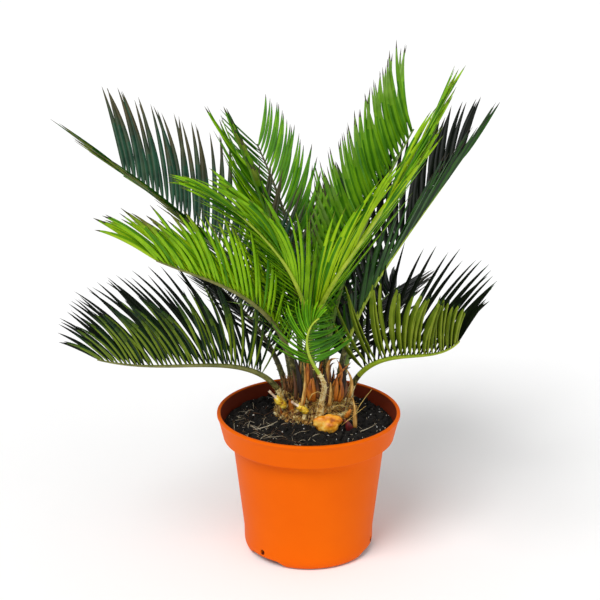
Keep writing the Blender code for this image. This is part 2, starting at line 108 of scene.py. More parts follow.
# Leaf tints, each a darker and a lighter tone that a leaflet drifts between
leafTints = {
    # The next two tints are painted shade: near-black and dark green for leaflets, rows and whole fronds that
    # lie in shadow
    "leafNight": ((5, 10, 5), (16, 24, 12)),
    "leafShade": ((10, 34, 12), (26, 56, 22)),
    "leafBlue": ((14, 50, 34), (34, 78, 54)),
    "leafSlate": ((34, 56, 40), (58, 82, 58)),
    "leafDusk": ((54, 52, 30), (76, 72, 44)),
    "leafDeep": ((24, 70, 4), (46, 98, 10)),
    "leafMid": ((54, 112, 4), (82, 140, 12)),
    "leafFresh": ((88, 146, 4), (116, 170, 12)),
    # The next two tints are partly the young leaflets' own yellow-green and partly painted light that shines
    # through them
    "leafBright": ((116, 168, 4), (144, 192, 16)),
    "leafLime": ((146, 184, 6), (172, 206, 26)),
    "leafOlive": ((84, 108, 10), (110, 132, 24)),
    "leafReed": ((120, 142, 30), (144, 162, 52)),
    "leafMist": ((100, 142, 48), (132, 170, 76)),
    "leafStraw": ((92, 96, 34), (116, 116, 50)),
    "leafDryTip": ((40, 36, 20), (56, 50, 32)),
}
leafFinish = dict(grain=70.0, roughness=(0.4, 0.52), specular=0.18, bump=0.25, bumpGrain=900.0)
finishes = {}


def makeLeafFinish(name, darker, lighter):
    finishes[name] = makeFinish(name, ((0.35, *darker), (0.65, *lighter)), **leafFinish)


for tintName, tones in leafTints.items():
    makeLeafFinish(tintName, *tones)


def fadedLeaf(first, second, share):
    # the plain tint that lies between two, made once
    name = f"{first}To{second[4:]}{round(share * 100)}"
    if name not in finishes:
        tones = [[a + (b - a) * share for a, b in zip(start, end)]
                 for start, end in zip(leafTints[first], leafTints[second])]
        makeLeafFinish(name, *tones)
    return finishes[name]


# The other finishes: tones, each with its place in the drift, grain, least and most roughness, and then the
# strength and grain of the surface relief
finishRecipes = {
    "ribGreen": (((0.35, 86, 118, 34), (0.65, 124, 150, 52)), 120, (0.4, 0.55), 0.3, 1200),
    "ribLime": (((0.35, 142, 170, 26), (0.65, 176, 194, 52)), 120, (0.4, 0.5), 0.3, 1200),
    "ribOlive": (((0.35, 98, 102, 44), (0.6, 128, 128, 66)), 160, (0.45, 0.6), 0.3, 1200),
    "ribBrown": (((0.3, 46, 38, 20), (0.6, 86, 84, 40)), 180, (0.5, 0.65), 0.4, 1200),
    "petiole": (((0.32, 38, 34, 12), (0.5, 78, 78, 26), (0.68, 146, 138, 78)), 420, (0.5, 0.7), 0.5, 1400),
    "woolFoot": (((0.32, 112, 66, 14), (0.42, 216, 176, 80), (0.54, 250, 234, 172)), 360, (0.8, 0.95), 0.8,
                 1600),
    "wool": (((0.35, 190, 138, 44), (0.62, 244, 214, 128)), 240, (0.75, 0.9)),
    "woolBrown": (((0.35, 92, 56, 24), (0.65, 150, 98, 46)), 240, (0.75, 0.9)),
    "scaleOrange": (((0.3, 70, 30, 6), (0.46, 170, 88, 8), (0.66, 218, 140, 40)), 420, (0.45, 0.65),
                    0.8, 900),
    "scaleTan": (((0.3, 92, 52, 14), (0.46, 184, 126, 44), (0.66, 228, 190, 110)), 420, (0.55, 0.75),
                 0.8, 900),
    "scaleBrown": (((0.3, 52, 28, 12), (0.55, 96, 56, 24), (0.75, 140, 90, 42)), 260, (0.55, 0.75), 0.6, 900),
    "scaleDark": (((0.35, 20, 13, 9), (0.65, 50, 32, 20)), 260, (0.6, 0.8), 0.6, 900),
    "bark": (((0.3, 24, 14, 9), (0.48, 66, 36, 18), (0.6, 136, 78, 30), (0.72, 190, 140, 76)), 300,
             (0.65, 0.85), 0.8, 1100),
    "bulbSkin": (((0.3, 132, 62, 6), (0.42, 218, 122, 8), (0.54, 240, 164, 34), (0.7, 252, 214, 110)), 170,
                 (0.35, 0.5), 0.5, 700),
    "cutYellow": (((0.3, 120, 66, 10), (0.42, 226, 172, 24), (0.56, 244, 212, 60), (0.7, 250, 236, 150)), 300,
                  (0.5, 0.7), 0.5, 900),
    "cutPale": (((0.35, 206, 170, 136), (0.65, 240, 220, 196)), 300, (0.6, 0.8), 0.4, 900),
    "peat": (((0.35, 9, 8, 8), (0.6, 22, 19, 17), (0.75, 40, 33, 27)), 420, (0.8, 0.95), 0.9, 900),
    "peatCrumb": (((0.35, 12, 10, 9), (0.6, 28, 23, 19), (0.78, 58, 48, 38)), 500, (0.75, 0.95), 0.7, 1600),
    "peatShred": (((0.35, 58, 42, 26), (0.65, 128, 104, 72)), 300, (0.7, 0.9), 0.4, 1200),
    "rootPale": (((0.35, 150, 132, 104), (0.65, 208, 196, 172)), 200, (0.6, 0.8), 0.3, 1200),
    "grit": (((0.35, 190, 188, 182), (0.65, 236, 234, 230)), 300, (0.6, 0.8), 0.4, 1400),
    "budRed": (((0.35, 70, 14, 16), (0.65, 128, 34, 30)), 300, (0.4, 0.6), 0.4, 1200),
    "potPlastic": (((0.3, 224, 93, 0), (0.7, 230, 100, 0)), 14, (0.42, 0.52), 0.12, 520),
    "potInsidePaintedShade": (((0.3, 104, 34, 12), (0.7, 128, 44, 18)), 22, (0.5, 0.6), 0.12, 520),
}
finishExtras = {
    "woolFoot": dict(sheen=0.25),
    "scaleOrange": dict(stretch=(1, 1, 0.22)),
    "scaleTan": dict(stretch=(1, 1, 0.22)),
    "scaleBrown": dict(stretch=(1, 1, 0.3)),
    "scaleDark": dict(stretch=(1, 1, 0.3)),
    "peat": dict(specular=0.3),
    "peatCrumb": dict(specular=0.3),
    "potPlastic": dict(detail=3.0, bumpDepth=0.0003, specular=0.05),
    "potInsidePaintedShade": dict(detail=3.0, bumpDepth=0.0003, specular=0.2),
}
for finishName, recipe in finishRecipes.items():
    finishes[finishName] = makeFinish(finishName, *recipe, **finishExtras.get(finishName, {}))
print("finishes made")


# Small helpers for building node trees
def newTree(name, numbers, materials):
    tree = bpy.data.node_groups.new(name, "GeometryNodeTree")
    tree.interface.new_socket(name="Geometry", in_out="OUTPUT", socket_type="NodeSocketGeometry")
    tree.interface.new_socket(name="Geometry", in_out="INPUT", socket_type="NodeSocketGeometry")
    for label, value in numbers.items():
        kind = "NodeSocketInt" if isinstance(value, int) else "NodeSocketFloat"
        tree.interface.new_socket(name=label, in_out="INPUT", socket_type=kind).default_value = value
    for label in materials:
        tree.interface.new_socket(name=label, in_out="INPUT", socket_type="NodeSocketMaterial")
    return tree


def calc(tree, operation, *values):
    node = tree.nodes.new("ShaderNodeMath")
    node.operation = operation
    for index, value in enumerate(values):
        wire(tree, node, index, value)
    return node.outputs[0]


def vec(tree, operation, first, second=None):
    node = tree.nodes.new("ShaderNodeVectorMath")
    node.operation = operation
    wire(tree, node, 0, first)
    if operation == "SCALE":
        wire(tree, node, "Scale", second)
    elif second is not None:
        wire(tree, node, 1, second)
    return node.outputs["Vector"]


def between(tree, first, second, share):
    return vec(tree, "ADD", first, vec(tree, "SCALE", vec(tree, "SUBTRACT", second, first), share))


def named(tree, name, kind="FLOAT_VECTOR"):
    return addNode(tree, "GeometryNodeInputNamedAttribute", {"Name": name}, data_type=kind).outputs[0]


def store(tree, geometry, name, value):
    node = addNode(tree, "GeometryNodeStoreNamedAttribute", {"Geometry": geometry, "Name": name},
                   data_type="FLOAT", domain="POINT")
    wire(tree, node, "Value", value)
    return node.outputs[0]


def paint(tree, geometry, material, chosen=True):
    return addNode(tree, "GeometryNodeSetMaterial", {
        "Geometry": geometry, "Selection": chosen, "Material": material}).outputs[0]


def dealMaterials(tree, geometry, given, pick, count):
    # one material for each value of an attribute, 1 upwards
    for index in range(1, count + 1):
        chosen = calc(tree, "COMPARE", pick, float(index), 0.5)
        geometry = paint(tree, geometry, given.outputs[f"Tint {index}"], chosen)
    return geometry


bladeCorner = radians(30)    # turns the ring of points so that the blade has an edge at each side
bladeEdge = (0.15, 0.35)    # thickness at the tip and what the full width adds, as shares
fadeStep = 0.11    # of a blade's length, between the steps of its fade


# Blades: every leaflet, scale, thorn, hair and root fibre is one closed strip along a curve of three points
def makeBladeTree(name, outline):
    fades = [f"Fade {row} {step}" for row in (1, 2) for step in (1, 2, 3)]
    tree = newTree(name, {"Around": 6, "Stations": 8, "Thickness": 0.0003, "Fold": 0.2, "Tip Share": 2.0},
                   ["Tint 1", "Tint 2", "Tint 3", "Tint 4", "Tip", *fades])
    given = addNode(tree, "NodeGroupInput")
    blank = addNode(tree, "GeometryNodeMeshCylinder", {
        "Vertices": given.outputs["Around"], "Side Segments": given.outputs["Stations"], "Radius": 1.0,
        "Depth": 1.0})
    turned = addNode(tree, "GeometryNodeTransform", {
        "Geometry": blank.outputs["Mesh"], "Rotation": (0.0, 0.0, bladeCorner)}).outputs[0]
    parts = addNode(tree, "ShaderNodeSeparateXYZ", {0: addNode(tree, "GeometryNodeInputPosition").outputs[0]})
    shape = store(tree, turned, "alongBlade", calc(tree, "ADD", parts.outputs[2], 0.5))
    shape = store(tree, shape, "acrossBlade", calc(tree, "DIVIDE", parts.outputs[0], cos(bladeCorner)))
    shape = store(tree, shape, "upBlade", parts.outputs[1])
    placed = addNode(tree, "GeometryNodeInstanceOnPoints", {
        "Points": given.outputs["Geometry"], "Instance": shape})
    grown = addNode(tree, "GeometryNodeRealizeInstances", {0: placed.outputs[0]}).outputs[0]
    along = named(tree, "alongBlade", "FLOAT")
    across = named(tree, "acrossBlade", "FLOAT")
    up = named(tree, "upBlade", "FLOAT")
    first = between(tree, named(tree, "rootPoint"), named(tree, "bendPoint"), along)
    second = between(tree, named(tree, "bendPoint"), named(tree, "tipPoint"), along)
    middle = between(tree, first, second, along)
    way = vec(tree, "NORMALIZE", vec(tree, "SUBTRACT", second, first))
    flat = vec(tree, "NORMALIZE", vec(tree, "CROSS_PRODUCT", named(tree, "wideWay"), way))
    wide = vec(tree, "CROSS_PRODUCT", way, flat)
    twist = calc(tree, "MULTIPLY", named(tree, "bladeTwist", "FLOAT"), along)
    wideTurned = vec(tree, "ADD", vec(tree, "SCALE", wide, calc(tree, "COSINE", twist)),
                     vec(tree, "SCALE", flat, calc(tree, "SINE", twist)))
    flatTurned = vec(tree, "SUBTRACT", vec(tree, "SCALE", flat, calc(tree, "COSINE", twist)),
                     vec(tree, "SCALE", wide, calc(tree, "SINE", twist)))
    curve = addNode(tree, "ShaderNodeFloatCurve", {"Value": along})
    points = curve.mapping.curves[0].points
    while len(points) < len(outline):
        points.new(0.5, 0.5)
    for point, (share, half) in zip(points, outline):
        point.location = (share, half)
    curve.mapping.update()
    half = calc(tree, "MULTIPLY", calc(tree, "MULTIPLY", named(tree, "bladeWidth", "FLOAT"), 0.5),
                curve.outputs[0])
    sideways = vec(tree, "SCALE", wideTurned, calc(tree, "MULTIPLY", half, across))
    raised = calc(tree, "MULTIPLY", calc(tree, "MULTIPLY", half, calc(tree, "ABSOLUTE", across)),
                  given.outputs["Fold"])
    thick = calc(tree, "MULTIPLY", calc(tree, "MULTIPLY", up, given.outputs["Thickness"]),
                 calc(tree, "MULTIPLY_ADD", curve.outputs[0], bladeEdge[1], bladeEdge[0]))
    lifted = vec(tree, "SCALE", flatTurned, calc(tree, "ADD", raised, thick))
    moved = vec(tree, "ADD", middle, vec(tree, "ADD", sideways, lifted))
    shaped = addNode(tree, "GeometryNodeSetPosition", {"Geometry": grown, "Position": moved}).outputs[0]
    shaped = addNode(tree, "GeometryNodeSetShadeSmooth", {"Geometry": shaped}).outputs[0]
    # Each face takes the lighter or the darker tint of its row by the half of the blade it lies on: the
    # darker half is painted shade, as if that side of the fold were in shadow
    half = calc(tree, "LESS_THAN", across, 0.0)
    pick = calc(tree, "ADD", named(tree, "bladeTint", "FLOAT"),
                calc(tree, "MULTIPLY", half, named(tree, "bladeShadedHalfStep", "FLOAT")))
    shaped = dealMaterials(tree, shaped, given, pick, 4)
    # past its own share of the length a blade fades, in three steps, to the outer tint of its row
    rows = calc(tree, "LESS_THAN", pick, 2.5), calc(tree, "GREATER_THAN", pick, 2.5)
    for row, inRow in enumerate(rows, 1):
        for step in (1, 2, 3):
            edge = calc(tree, "ADD", named(tree, "bladeZone", "FLOAT"), fadeStep * (step - 1))
            outside = calc(tree, "MULTIPLY", calc(tree, "GREATER_THAN", along, edge), inRow)
            shaped = paint(tree, shaped, given.outputs[f"Fade {row} {step}"], outside)
    tips = calc(tree, "GREATER_THAN", along, given.outputs["Tip Share"])
    shaped = paint(tree, shaped, given.outputs["Tip"], tips)
    addNode(tree, "NodeGroupOutput", {"Geometry": shaped})
    return tree


# Crumbs: lumps of a few faces, each turned and sized by its point, roughened together
def makeCrumbTree(name):
    tree = newTree(name, {"Subdivisions": 1, "Roughen": 0.0004, "Grain": 700.0}, ["Tint 1", "Tint 2"])
    given = addNode(tree, "NodeGroupInput")
    lump = addNode(tree, "GeometryNodeMeshIcoSphere", {
        "Radius": 0.5, "Subdivisions": given.outputs["Subdivisions"]})
    turn = addNode(tree, "FunctionNodeEulerToRotation", {0: named(tree, "crumbTurn")})
    placed = addNode(tree, "GeometryNodeInstanceOnPoints", {
        "Points": given.outputs["Geometry"], "Instance": lump.outputs["Mesh"], "Rotation": turn.outputs[0],
        "Scale": named(tree, "crumbSize")})
    grown = addNode(tree, "GeometryNodeRealizeInstances", {0: placed.outputs[0]}).outputs[0]
    wander = addNode(tree, "ShaderNodeTexNoise", {"Scale": given.outputs["Grain"], "Detail": 2.0})
    push = vec(tree, "SCALE", vec(tree, "SUBTRACT", wander.outputs["Color"], (0.5, 0.5, 0.5)),
               calc(tree, "MULTIPLY", given.outputs["Roughen"], 2.0))
    shaped = addNode(tree, "GeometryNodeSetPosition", {"Geometry": grown, "Offset": push}).outputs[0]
    shaped = dealMaterials(tree, shaped, given, named(tree, "crumbTint", "FLOAT"), 2)
    addNode(tree, "NodeGroupOutput", {"Geometry": shaped})
    return tree


# Ribs: a round bar along a line of points, with a radius at each point and another finish at its foot
def makeRibTree(name):
    tree = newTree(name, {"Sides": 12, "Foot Share": 0.1, "Stalk Share": 0.25}, ["Rib", "Stalk", "Foot"])
    given = addNode(tree, "NodeGroupInput")
    radius = named(tree, "ribRadius", "FLOAT")
    share = named(tree, "ribShare", "FLOAT")
    line = addNode(tree, "GeometryNodeMeshToCurve", {0: given.outputs["Geometry"]}).outputs[0]
    line = addNode(tree, "GeometryNodeSetCurveRadius", {"Curve": line, "Radius": radius}).outputs[0]
    ring = addNode(tree, "GeometryNodeCurvePrimitiveCircle", {
        "Resolution": given.outputs["Sides"], "Radius": 1.0}).outputs["Curve"]
    solid = addNode(tree, "GeometryNodeCurveToMesh", {
        "Curve": line, "Profile Curve": ring, "Scale": radius, "Fill Caps": True})
    shaped = addNode(tree, "GeometryNodeSetShadeSmooth", {"Geometry": solid.outputs[0]}).outputs[0]
    shaped = paint(tree, shaped, given.outputs["Rib"])
    for label in ("Stalk", "Foot"):
        low = calc(tree, "LESS_THAN", share, given.outputs[label + " Share"])
        shaped = paint(tree, shaped, given.outputs[label], low)
    addNode(tree, "NodeGroupOutput", {"Geometry": shaped})
    return tree


leafTree = makeBladeTree("growLeaflets", ((0.0, 0.3), (0.05, 0.52), (0.18, 0.9), (0.38, 1.0), (0.55, 0.93),
                                          (0.72, 0.7), (0.86, 0.43), (0.95, 0.2), (1.0, 0.02)))
scaleTree = makeBladeTree("growScales", ((0.0, 0.95), (0.15, 1.0), (0.4, 0.92), (0.6, 0.72), (0.8, 0.42),
                                         (0.92, 0.2), (1.0, 0.03)))
fibreTree = makeBladeTree("growFibres", ((0.0, 1.0), (0.5, 0.85), (0.85, 0.5), (1.0, 0.15)))
crumbTree = makeCrumbTree("scatterCrumbs")
ribTree = makeRibTree("growRibs")
print("trees built")


# Runs a tree over points that carry its attributes, and keeps the result as a plain mesh
def grow(name, tree, points, attributes, values, edges=()):
    source = bpy.data.meshes.new(name + "Points")
    source.from_pydata([tuple(p) for p in points], list(edges), [])
    for key, data in attributes.items():
        data = np.asarray(data, np.float32)
        isVector = data.ndim == 2
        layer = source.attributes.new(key, "FLOAT_VECTOR" if isVector else "FLOAT", "POINT")
        layer.data.foreach_set("vector" if isVector else "value", data.ravel())
    holder = bpy.data.objects.new(name + "Points", source)
    bpy.context.scene.collection.objects.link(holder)
    step = holder.modifiers.new("grow", "NODES")
    step.node_group = tree
    for item in tree.interface.items_tree:
        if item.item_type == "SOCKET" and item.in_out == "INPUT" and item.name in values:
            step[item.identifier] = values[item.name]
    bpy.context.view_layer.update()
    grown = bpy.data.meshes.new_from_object(holder.evaluated_get(bpy.context.evaluated_depsgraph_get()))
    grown.name = name
    bpy.data.objects.remove(holder)
    for layer in [a.name for a in grown.attributes if a.name in attributes or a.name.endswith("Blade")]:
        grown.attributes.remove(grown.attributes[layer])
    piece = bpy.data.objects.new(name, grown)
    bpy.context.scene.collection.objects.link(piece)
    return piece


def growBlades(name, tree, blades, tints, outer=("leafDusk", "leafDusk"), tip="leafDryTip", **values):
    attributes = {key: [blade[short] for blade in blades] for key, short in (
        ("rootPoint", "root"), ("bendPoint", "bend"), ("tipPoint", "tip"), ("wideWay", "wide"),
        ("bladeWidth", "width"), ("bladeTwist", "twist"), ("bladeTint", "tint"))}
    attributes["bladeZone"] = [blade.get("zone", 2.0) for blade in blades]
    attributes["bladeShadedHalfStep"] = [blade.get("shadedHalfStep", 0.0) for blade in blades]
    given = {f"Tint {k + 1}": finishes[tint] for k, tint in enumerate(tints)}
    given["Tip"] = finishes[tip]
    if "zone" in blades[0]:
        for row in (1, 2):
            for step in (1, 2, 3):
                given[f"Fade {row} {step}"] = fadedLeaf(tints[row * 2 - 2], outer[row - 1], step / 3)
    given.update(values)
    return grow(name, tree, attributes["rootPoint"], attributes, given)


def joinPieces(first, *others):
    bpy.ops.object.select_all(action="DESELECT")
    for piece in (first, *others):
        piece.select_set(True)
    bpy.context.view_layer.objects.active = first
    bpy.ops.object.join()
    return first


def finishPiece(piece, slot, *nodes):
    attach(piece, "root")
    if nodes:
        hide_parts(*nodes)
    return piece


def meshPiece(name, vertices, faces, finish):
    mesh = bpy.data.meshes.new(name)
    mesh.from_pydata([tuple(v) for v in vertices], [], faces)
    shell = bmesh.new()
    shell.from_mesh(mesh)
    bmesh.ops.recalc_face_normals(shell, faces=shell.faces)
    shell.to_mesh(mesh)
    shell.free()
    mesh.shade_smooth()
    mesh.materials.append(finish)
    piece = bpy.data.objects.new(name, mesh)
    bpy.context.scene.collection.objects.link(piece)
    return piece


def bandFaces(low, high, sides):
    # the faces between two rings of points, each ring told by the number of its first point
    return [(low + k, high + k, high + (k + 1) % sides, low + (k + 1) % sides) for k in range(sides)]


# A long blade from a row of foot, bend, tip and width in millimetres, and its tint
def bladeRow(foot, bend, tip, width, tint=1, **more):
    spots = [[value / 1000 for value in spot] for spot in (foot, bend, tip)]
    return dict(root=spots[0], bend=spots[1], tip=spots[2], width=width / 1000, tint=tint, **more)


def turnedShape(profileAt, sides, centre=(0.0, 0.0), oval=1.0):
    # a section of (radius, height) points for each angle, turned about an upright axis
    angles = [2 * pi * k / sides for k in range(sides)]
    sections = [profileAt(angle) for angle in angles]
    vertices = []
    rings = []
    for step in range(len(sections[0])):
        if sections[0][step][0] == 0.0:
            rings.append([len(vertices)])
            vertices.append((centre[0], centre[1], sections[0][step][1]))
            continue
        rings.append(list(range(len(vertices), len(vertices) + sides)))
        for angle, section in zip(angles, sections):
            radius, height = section[step]
            vertices.append((centre[0] + radius * cos(angle), centre[1] + radius * oval * sin(angle), height))
    faces = []
    for low, high in zip(rings, rings[1:]):
        for k in range(sides):
            after = (k + 1) % sides
            if len(low) == 1:
                faces.append((low[0], high[after], high[k]))
            elif len(high) == 1:
                faces.append((low[k], low[after], high[0]))
            else:
                faces.append((low[k], low[after], high[after], high[k]))
    return vertices, faces


def bumpy(x, y, z, size, octaves):
    return noise.fractal(Vector((x / size, y / size, z / size)), 1.0, 2.0, octaves)


# Pot
pot = dict(height=0.103, rim=0.065, collarHeight=0.0185, collarFoot=0.0607, bodyTop=0.0543, bodyFoot=0.0455,
           foot=0.0425, wall=0.0018, lip=0.0026, footLift=0.0046, floorThick=0.0018, footRound=0.0075,
           footBulge=0.0008, footWall=0.0026, footInside=0.0038, edge=0.0004, pad=0.014, padRound=0.0005,
           stepRound=0.0010, rimRound=0.0008, lipRound=0.0006, arches=3, archFirst=-135.0, archSpan=51.0,
           archRamp=11.0, archHeight=0.0040, drain=0.0020, drainHeight=0.0078, drainDepth=0.012,
           sharpAngle=38, sides=240)


def potBore(height):
    # the radius of the pot's inside at a height
    step = pot["height"] - pot["collarHeight"]
    if height <= step:
        return pot["bodyFoot"] + (pot["bodyTop"] - pot["bodyFoot"]) * height / step - pot["wall"]
    share = (height - step) / pot["collarHeight"]
    rise = pot["rim"] - pot["lip"] - pot["collarFoot"] + pot["wall"]
    return pot["collarFoot"] + rise * share - pot["wall"]


def archShare(angle):
    period = 360.0 / pot["arches"]
    away = abs((angle * 180 / pi - pot["archFirst"] + period / 2) % period - period / 2)
    ramp = min(max((pot["archSpan"] / 2 - away) / pot["archRamp"], 0.0), 1.0)
    return ramp * ramp * (3 - 2 * ramp)


def arcPoints(centre, radius, start, stop, steps):
    return [(centre[0] + radius * cos(radians(start + (stop - start) * k / steps)),
             centre[1] + radius * sin(radians(start + (stop - start) * k / steps))) for k in range(steps + 1)]


def potSection(angle):
    top = pot["height"]
    step = top - pot["collarHeight"]
    floorTop = pot["footLift"] + pot["floorThick"]
    edge, pad, padRound, rim = pot["edge"], pot["pad"], pot["padRound"], pot["rim"]
    firstTurn = acos(1 - pot["archHeight"] * archShare(angle) / pot["footRound"])
    reach = pot["bodyFoot"] + pot["footBulge"] - pot["foot"]
    corner = []
    for k in range(9):
        turn = firstTurn + (pi / 2 - firstTurn) * k / 8
        corner.append((pot["foot"] + reach * sin(turn), pot["footRound"] * (1 - cos(turn))))
    outer, low = corner[0]
    inner = outer - pot["footWall"]
    section = [(0.0, 0.0), (pad - padRound, 0.0), (pad, padRound), (pad + 2 * padRound, pot["footLift"]),
               (pot["foot"] - pot["footInside"], pot["footLift"]), (inner, low + edge), (inner + edge, low),
               (outer - edge, low), (outer - edge * 0.3, low + edge * 0.4)]
    section += corner[1:]
    for k in range(1, 10):
        section.append((pot["bodyFoot"] + (pot["bodyTop"] - pot["bodyFoot"]) * k / 10,
                        pot["footRound"] + (step - pot["footRound"]) * k / 10))
    # the step under the collar, the collar's rounded foot, and the collar up to the rim
    ledge = pot["collarFoot"] - pot["stepRound"]
    section += [(pot["bodyTop"] - 0.0001, step - 0.0008), (pot["bodyTop"] + 0.0005, step), (ledge, step)]
    section += arcPoints((ledge, step + pot["stepRound"]), pot["stepRound"], -75, 0, 4)
    for k in range(1, 6):
        share = k / 6
        section.append((pot["collarFoot"] + (rim - 0.0007 - pot["collarFoot"]) * share,
                        step + pot["stepRound"] + (pot["collarHeight"] - 0.0035) * share))
    section += [(rim - 0.0005, top - 0.0022), (rim, top - 0.0016)]
    section += arcPoints((rim - pot["rimRound"], top - pot["rimRound"]), pot["rimRound"], 0, 90, 5)
    lipCentre = (rim - pot["lip"] + pot["lipRound"], top - pot["lipRound"])
    section += arcPoints(lipCentre, pot["lipRound"], 100, 180, 4)
    section += [(potBore(top - 0.006), top - 0.006), (potBore(step + 0.001), step + 0.0018),
                (pot["bodyTop"] - pot["wall"], step + 0.0006), (potBore(step * 0.5), step * 0.5),
                (potBore(floorTop), floorTop), (0.0, floorTop)]
    return section


def makePot():
    piece = meshPiece("potShell", *turnedShape(potSection, pot["sides"]), finishes["potPlastic"])
    for arch in range(pot["arches"]):
        angle = radians(pot["archFirst"] + 360.0 / pot["arches"] * arch)
        bpy.ops.mesh.primitive_cylinder_add(
            vertices=32, radius=pot["drain"], depth=pot["drainDepth"], rotation=(0.0, pi / 2, angle),
            location=(pot["bodyFoot"] * cos(angle), pot["bodyFoot"] * sin(angle), pot["drainHeight"]))
        cutter = bpy.context.object
        step = piece.modifiers.new("drain", "BOOLEAN")
        step.operation = "DIFFERENCE"
        step.object = cutter
        step.solver = "EXACT"
        bpy.context.view_layer.update()
        cut = bpy.data.meshes.new_from_object(piece.evaluated_get(bpy.context.evaluated_depsgraph_get()))
        piece.modifiers.remove(step)
        piece.data = cut
        bpy.data.objects.remove(cutter)
    piece.data.set_sharp_from_angle(angle=radians(pot["sharpAngle"]))
    piece.data.name = piece.name
    # The inner wall below the lip gets a darker red-brown finish: painted shade, since the plastic is the
    # same orange inside
    piece.data.materials.append(finishes["potInsidePaintedShade"])
    for face in piece.data.polygons:    # the inner wall, below the lip
        away = (face.center.x ** 2 + face.center.y ** 2) ** 0.5
        inwards = face.normal.x * face.center.x + face.normal.y * face.center.y < 0
        isWall = away < potBore(face.center.z) + 0.0006 and face.center.z < pot["height"] - 0.0012
        if inwards and isWall:
            face.material_index = 1
    return finishPiece(piece, "pot", "pot")


makePot()
print("pot made")


# Compost
compost = dict(level=0.0940, dip=0.0012, gap=0.0006, swell=0.0014, fineSwell=0.45, heap=0.0012,
               heapWidth=0.034, sides=200, rings=64, inset=0.0005, seed=11, crumbsUnder=0.006, topGap=0.0012)
fibre = dict(count=150, under=0.003, length=(0.004, 0.015), width=(0.00014, 0.00042), lift=(0.0004, 0.0030),
             tipLift=(0.0006, 0.0030), footLift=0.0008, rimGap=0.004)
scatterings = {    # sizes in metres, share: of the first finish, lift: of its own size above the compost
    "compostCrumbs": dict(count=3000, smallest=0.0009, largest=0.0048, tints=("peatCrumb", "peat"),
                          flatness=0.75, share=0.5, lift=0.15),
    "compostLumps": dict(count=520, smallest=0.0024, largest=0.0066, tints=("peatCrumb", "peat"),
                         flatness=0.8, share=0.4, lift=0.1, subdivisions=2, roughen=0.0007),
    "compostShreds": dict(count=80, smallest=0.0010, largest=0.0032, tints=("peatShred", "peatCrumb"),
                          flatness=0.3, share=0.5, lift=0.25),
    "compostGrit": dict(count=460, smallest=0.0004, largest=0.0012, tints=("grit", "peatShred"),
                        flatness=0.4, share=0.6, lift=1.8),
}
trunk = dict(centre=(0.005, 0.0145), oval=0.88, flare=0.0292, foot=0.0940)
terraces = {
    "outer": dict(height=0.1020, edge=0.0284, seat=0.0245),
    "middle": dict(height=0.1130, edge=0.0208, seat=0.0172),
    "inner": dict(height=0.1180, edge=0.0132, seat=0.0100),
}


def compostEdge():
    return potBore(compost["level"]) - compost["gap"]


def compostHeight(x, y):
    away = (x * x + y * y) ** 0.5 / compostEdge()
    swell = bumpy(x, y, 0.3, 0.011, 3) * compost["swell"]
    fine = bumpy(x, y, 2.7, 0.0022, 2) * compost["swell"] * compost["fineSwell"]
    dx, dy = x - trunk["centre"][0], y - trunk["centre"][1]
    heap = compost["heap"] * exp(-((dx ** 2 + dy ** 2) / compost["heapWidth"] ** 2))
    return compost["level"] - compost["dip"] * away ** 3 + (swell + fine) * (1 - 0.5 * away ** 8) + heap


def makeCompost():
    sides, rings, inset = compost["sides"], compost["rings"], compost["inset"]
    edge = compostEdge()

    def ringPoints(radius):
        return [(radius * cos(2 * pi * k / sides), radius * sin(2 * pi * k / sides)) for k in range(sides)]

    vertices = [(0.0, 0.0, compostHeight(0.0, 0.0))]
    for ring in range(1, rings + 1):
        vertices += [(x, y, compostHeight(x, y)) for x, y in ringPoints(edge * ring / rings)]
    faces = [(0, 1 + k, 1 + (k + 1) % sides) for k in range(sides)]
    for ring in range(rings - 1):
        faces += bandFaces(1 + ring * sides, 1 + (ring + 1) * sides, sides)
    # the unseen sides and bottom, inside the pot
    step = pot["height"] - pot["collarHeight"]
    bodyInside = pot["bodyTop"] - pot["wall"] - inset
    floorTop = pot["footLift"] + pot["floorThick"] + 0.0003
    low = 1 + (rings - 1) * sides
    for radius, height in ((potBore(step + 0.004) - 0.0007, step + 0.0024), (bodyInside, step + 0.0022),
                           (bodyInside, step), (potBore(floorTop) - inset, floorTop)):
        start = len(vertices)
        vertices += [(x, y, height) for x, y in ringPoints(radius)]
        faces += bandFaces(low, start, sides)
        low = start
    faces.append(list(range(low, low + sides))[::-1])
    piece = meshPiece("compostBody", vertices, faces, finishes["peat"])
    return finishPiece(piece, "soil", "soil")


def onTrunk(angle, radius, height):
    return np.array([trunk["centre"][0] + radius * cos(angle),
                     trunk["centre"][1] + radius * trunk["oval"] * sin(angle), height])


def outsideTrunk(x, y, margin):
    dx = x - trunk["centre"][0]
    dy = (y - trunk["centre"][1]) / trunk["oval"]
    return (dx * dx + dy * dy) ** 0.5 > trunk["flare"] - margin


def randomSpot(random, reach, margin):
    while True:
        x, y = random.uniform(-reach, reach, 2)
        if x * x + y * y < reach * reach and outsideTrunk(x, y, margin):
            return x, y


# Pale roots that lie on the compost: foot, bend, tip and width in millimetres
longRoots = [
    ((-20.0, -2.0, 97.5), (-24.0, -20.0, 99.0), (-40.0, -18.0, 95.5), 1.1),
    ((36.0, -23.0, 96.5), (45.0, -18.0, 97.5), (48.5, -6.0, 96.0), 0.6),
    ((-18.0, -30.0, 96.0), (-24.0, -34.0, 97.5), (-33.0, -33.0, 95.5), 0.5),
    ((29.0, -26.0, 95.5), (33.0, -30.0, 97.5), (30.0, -36.0, 95.5), 0.5),
]


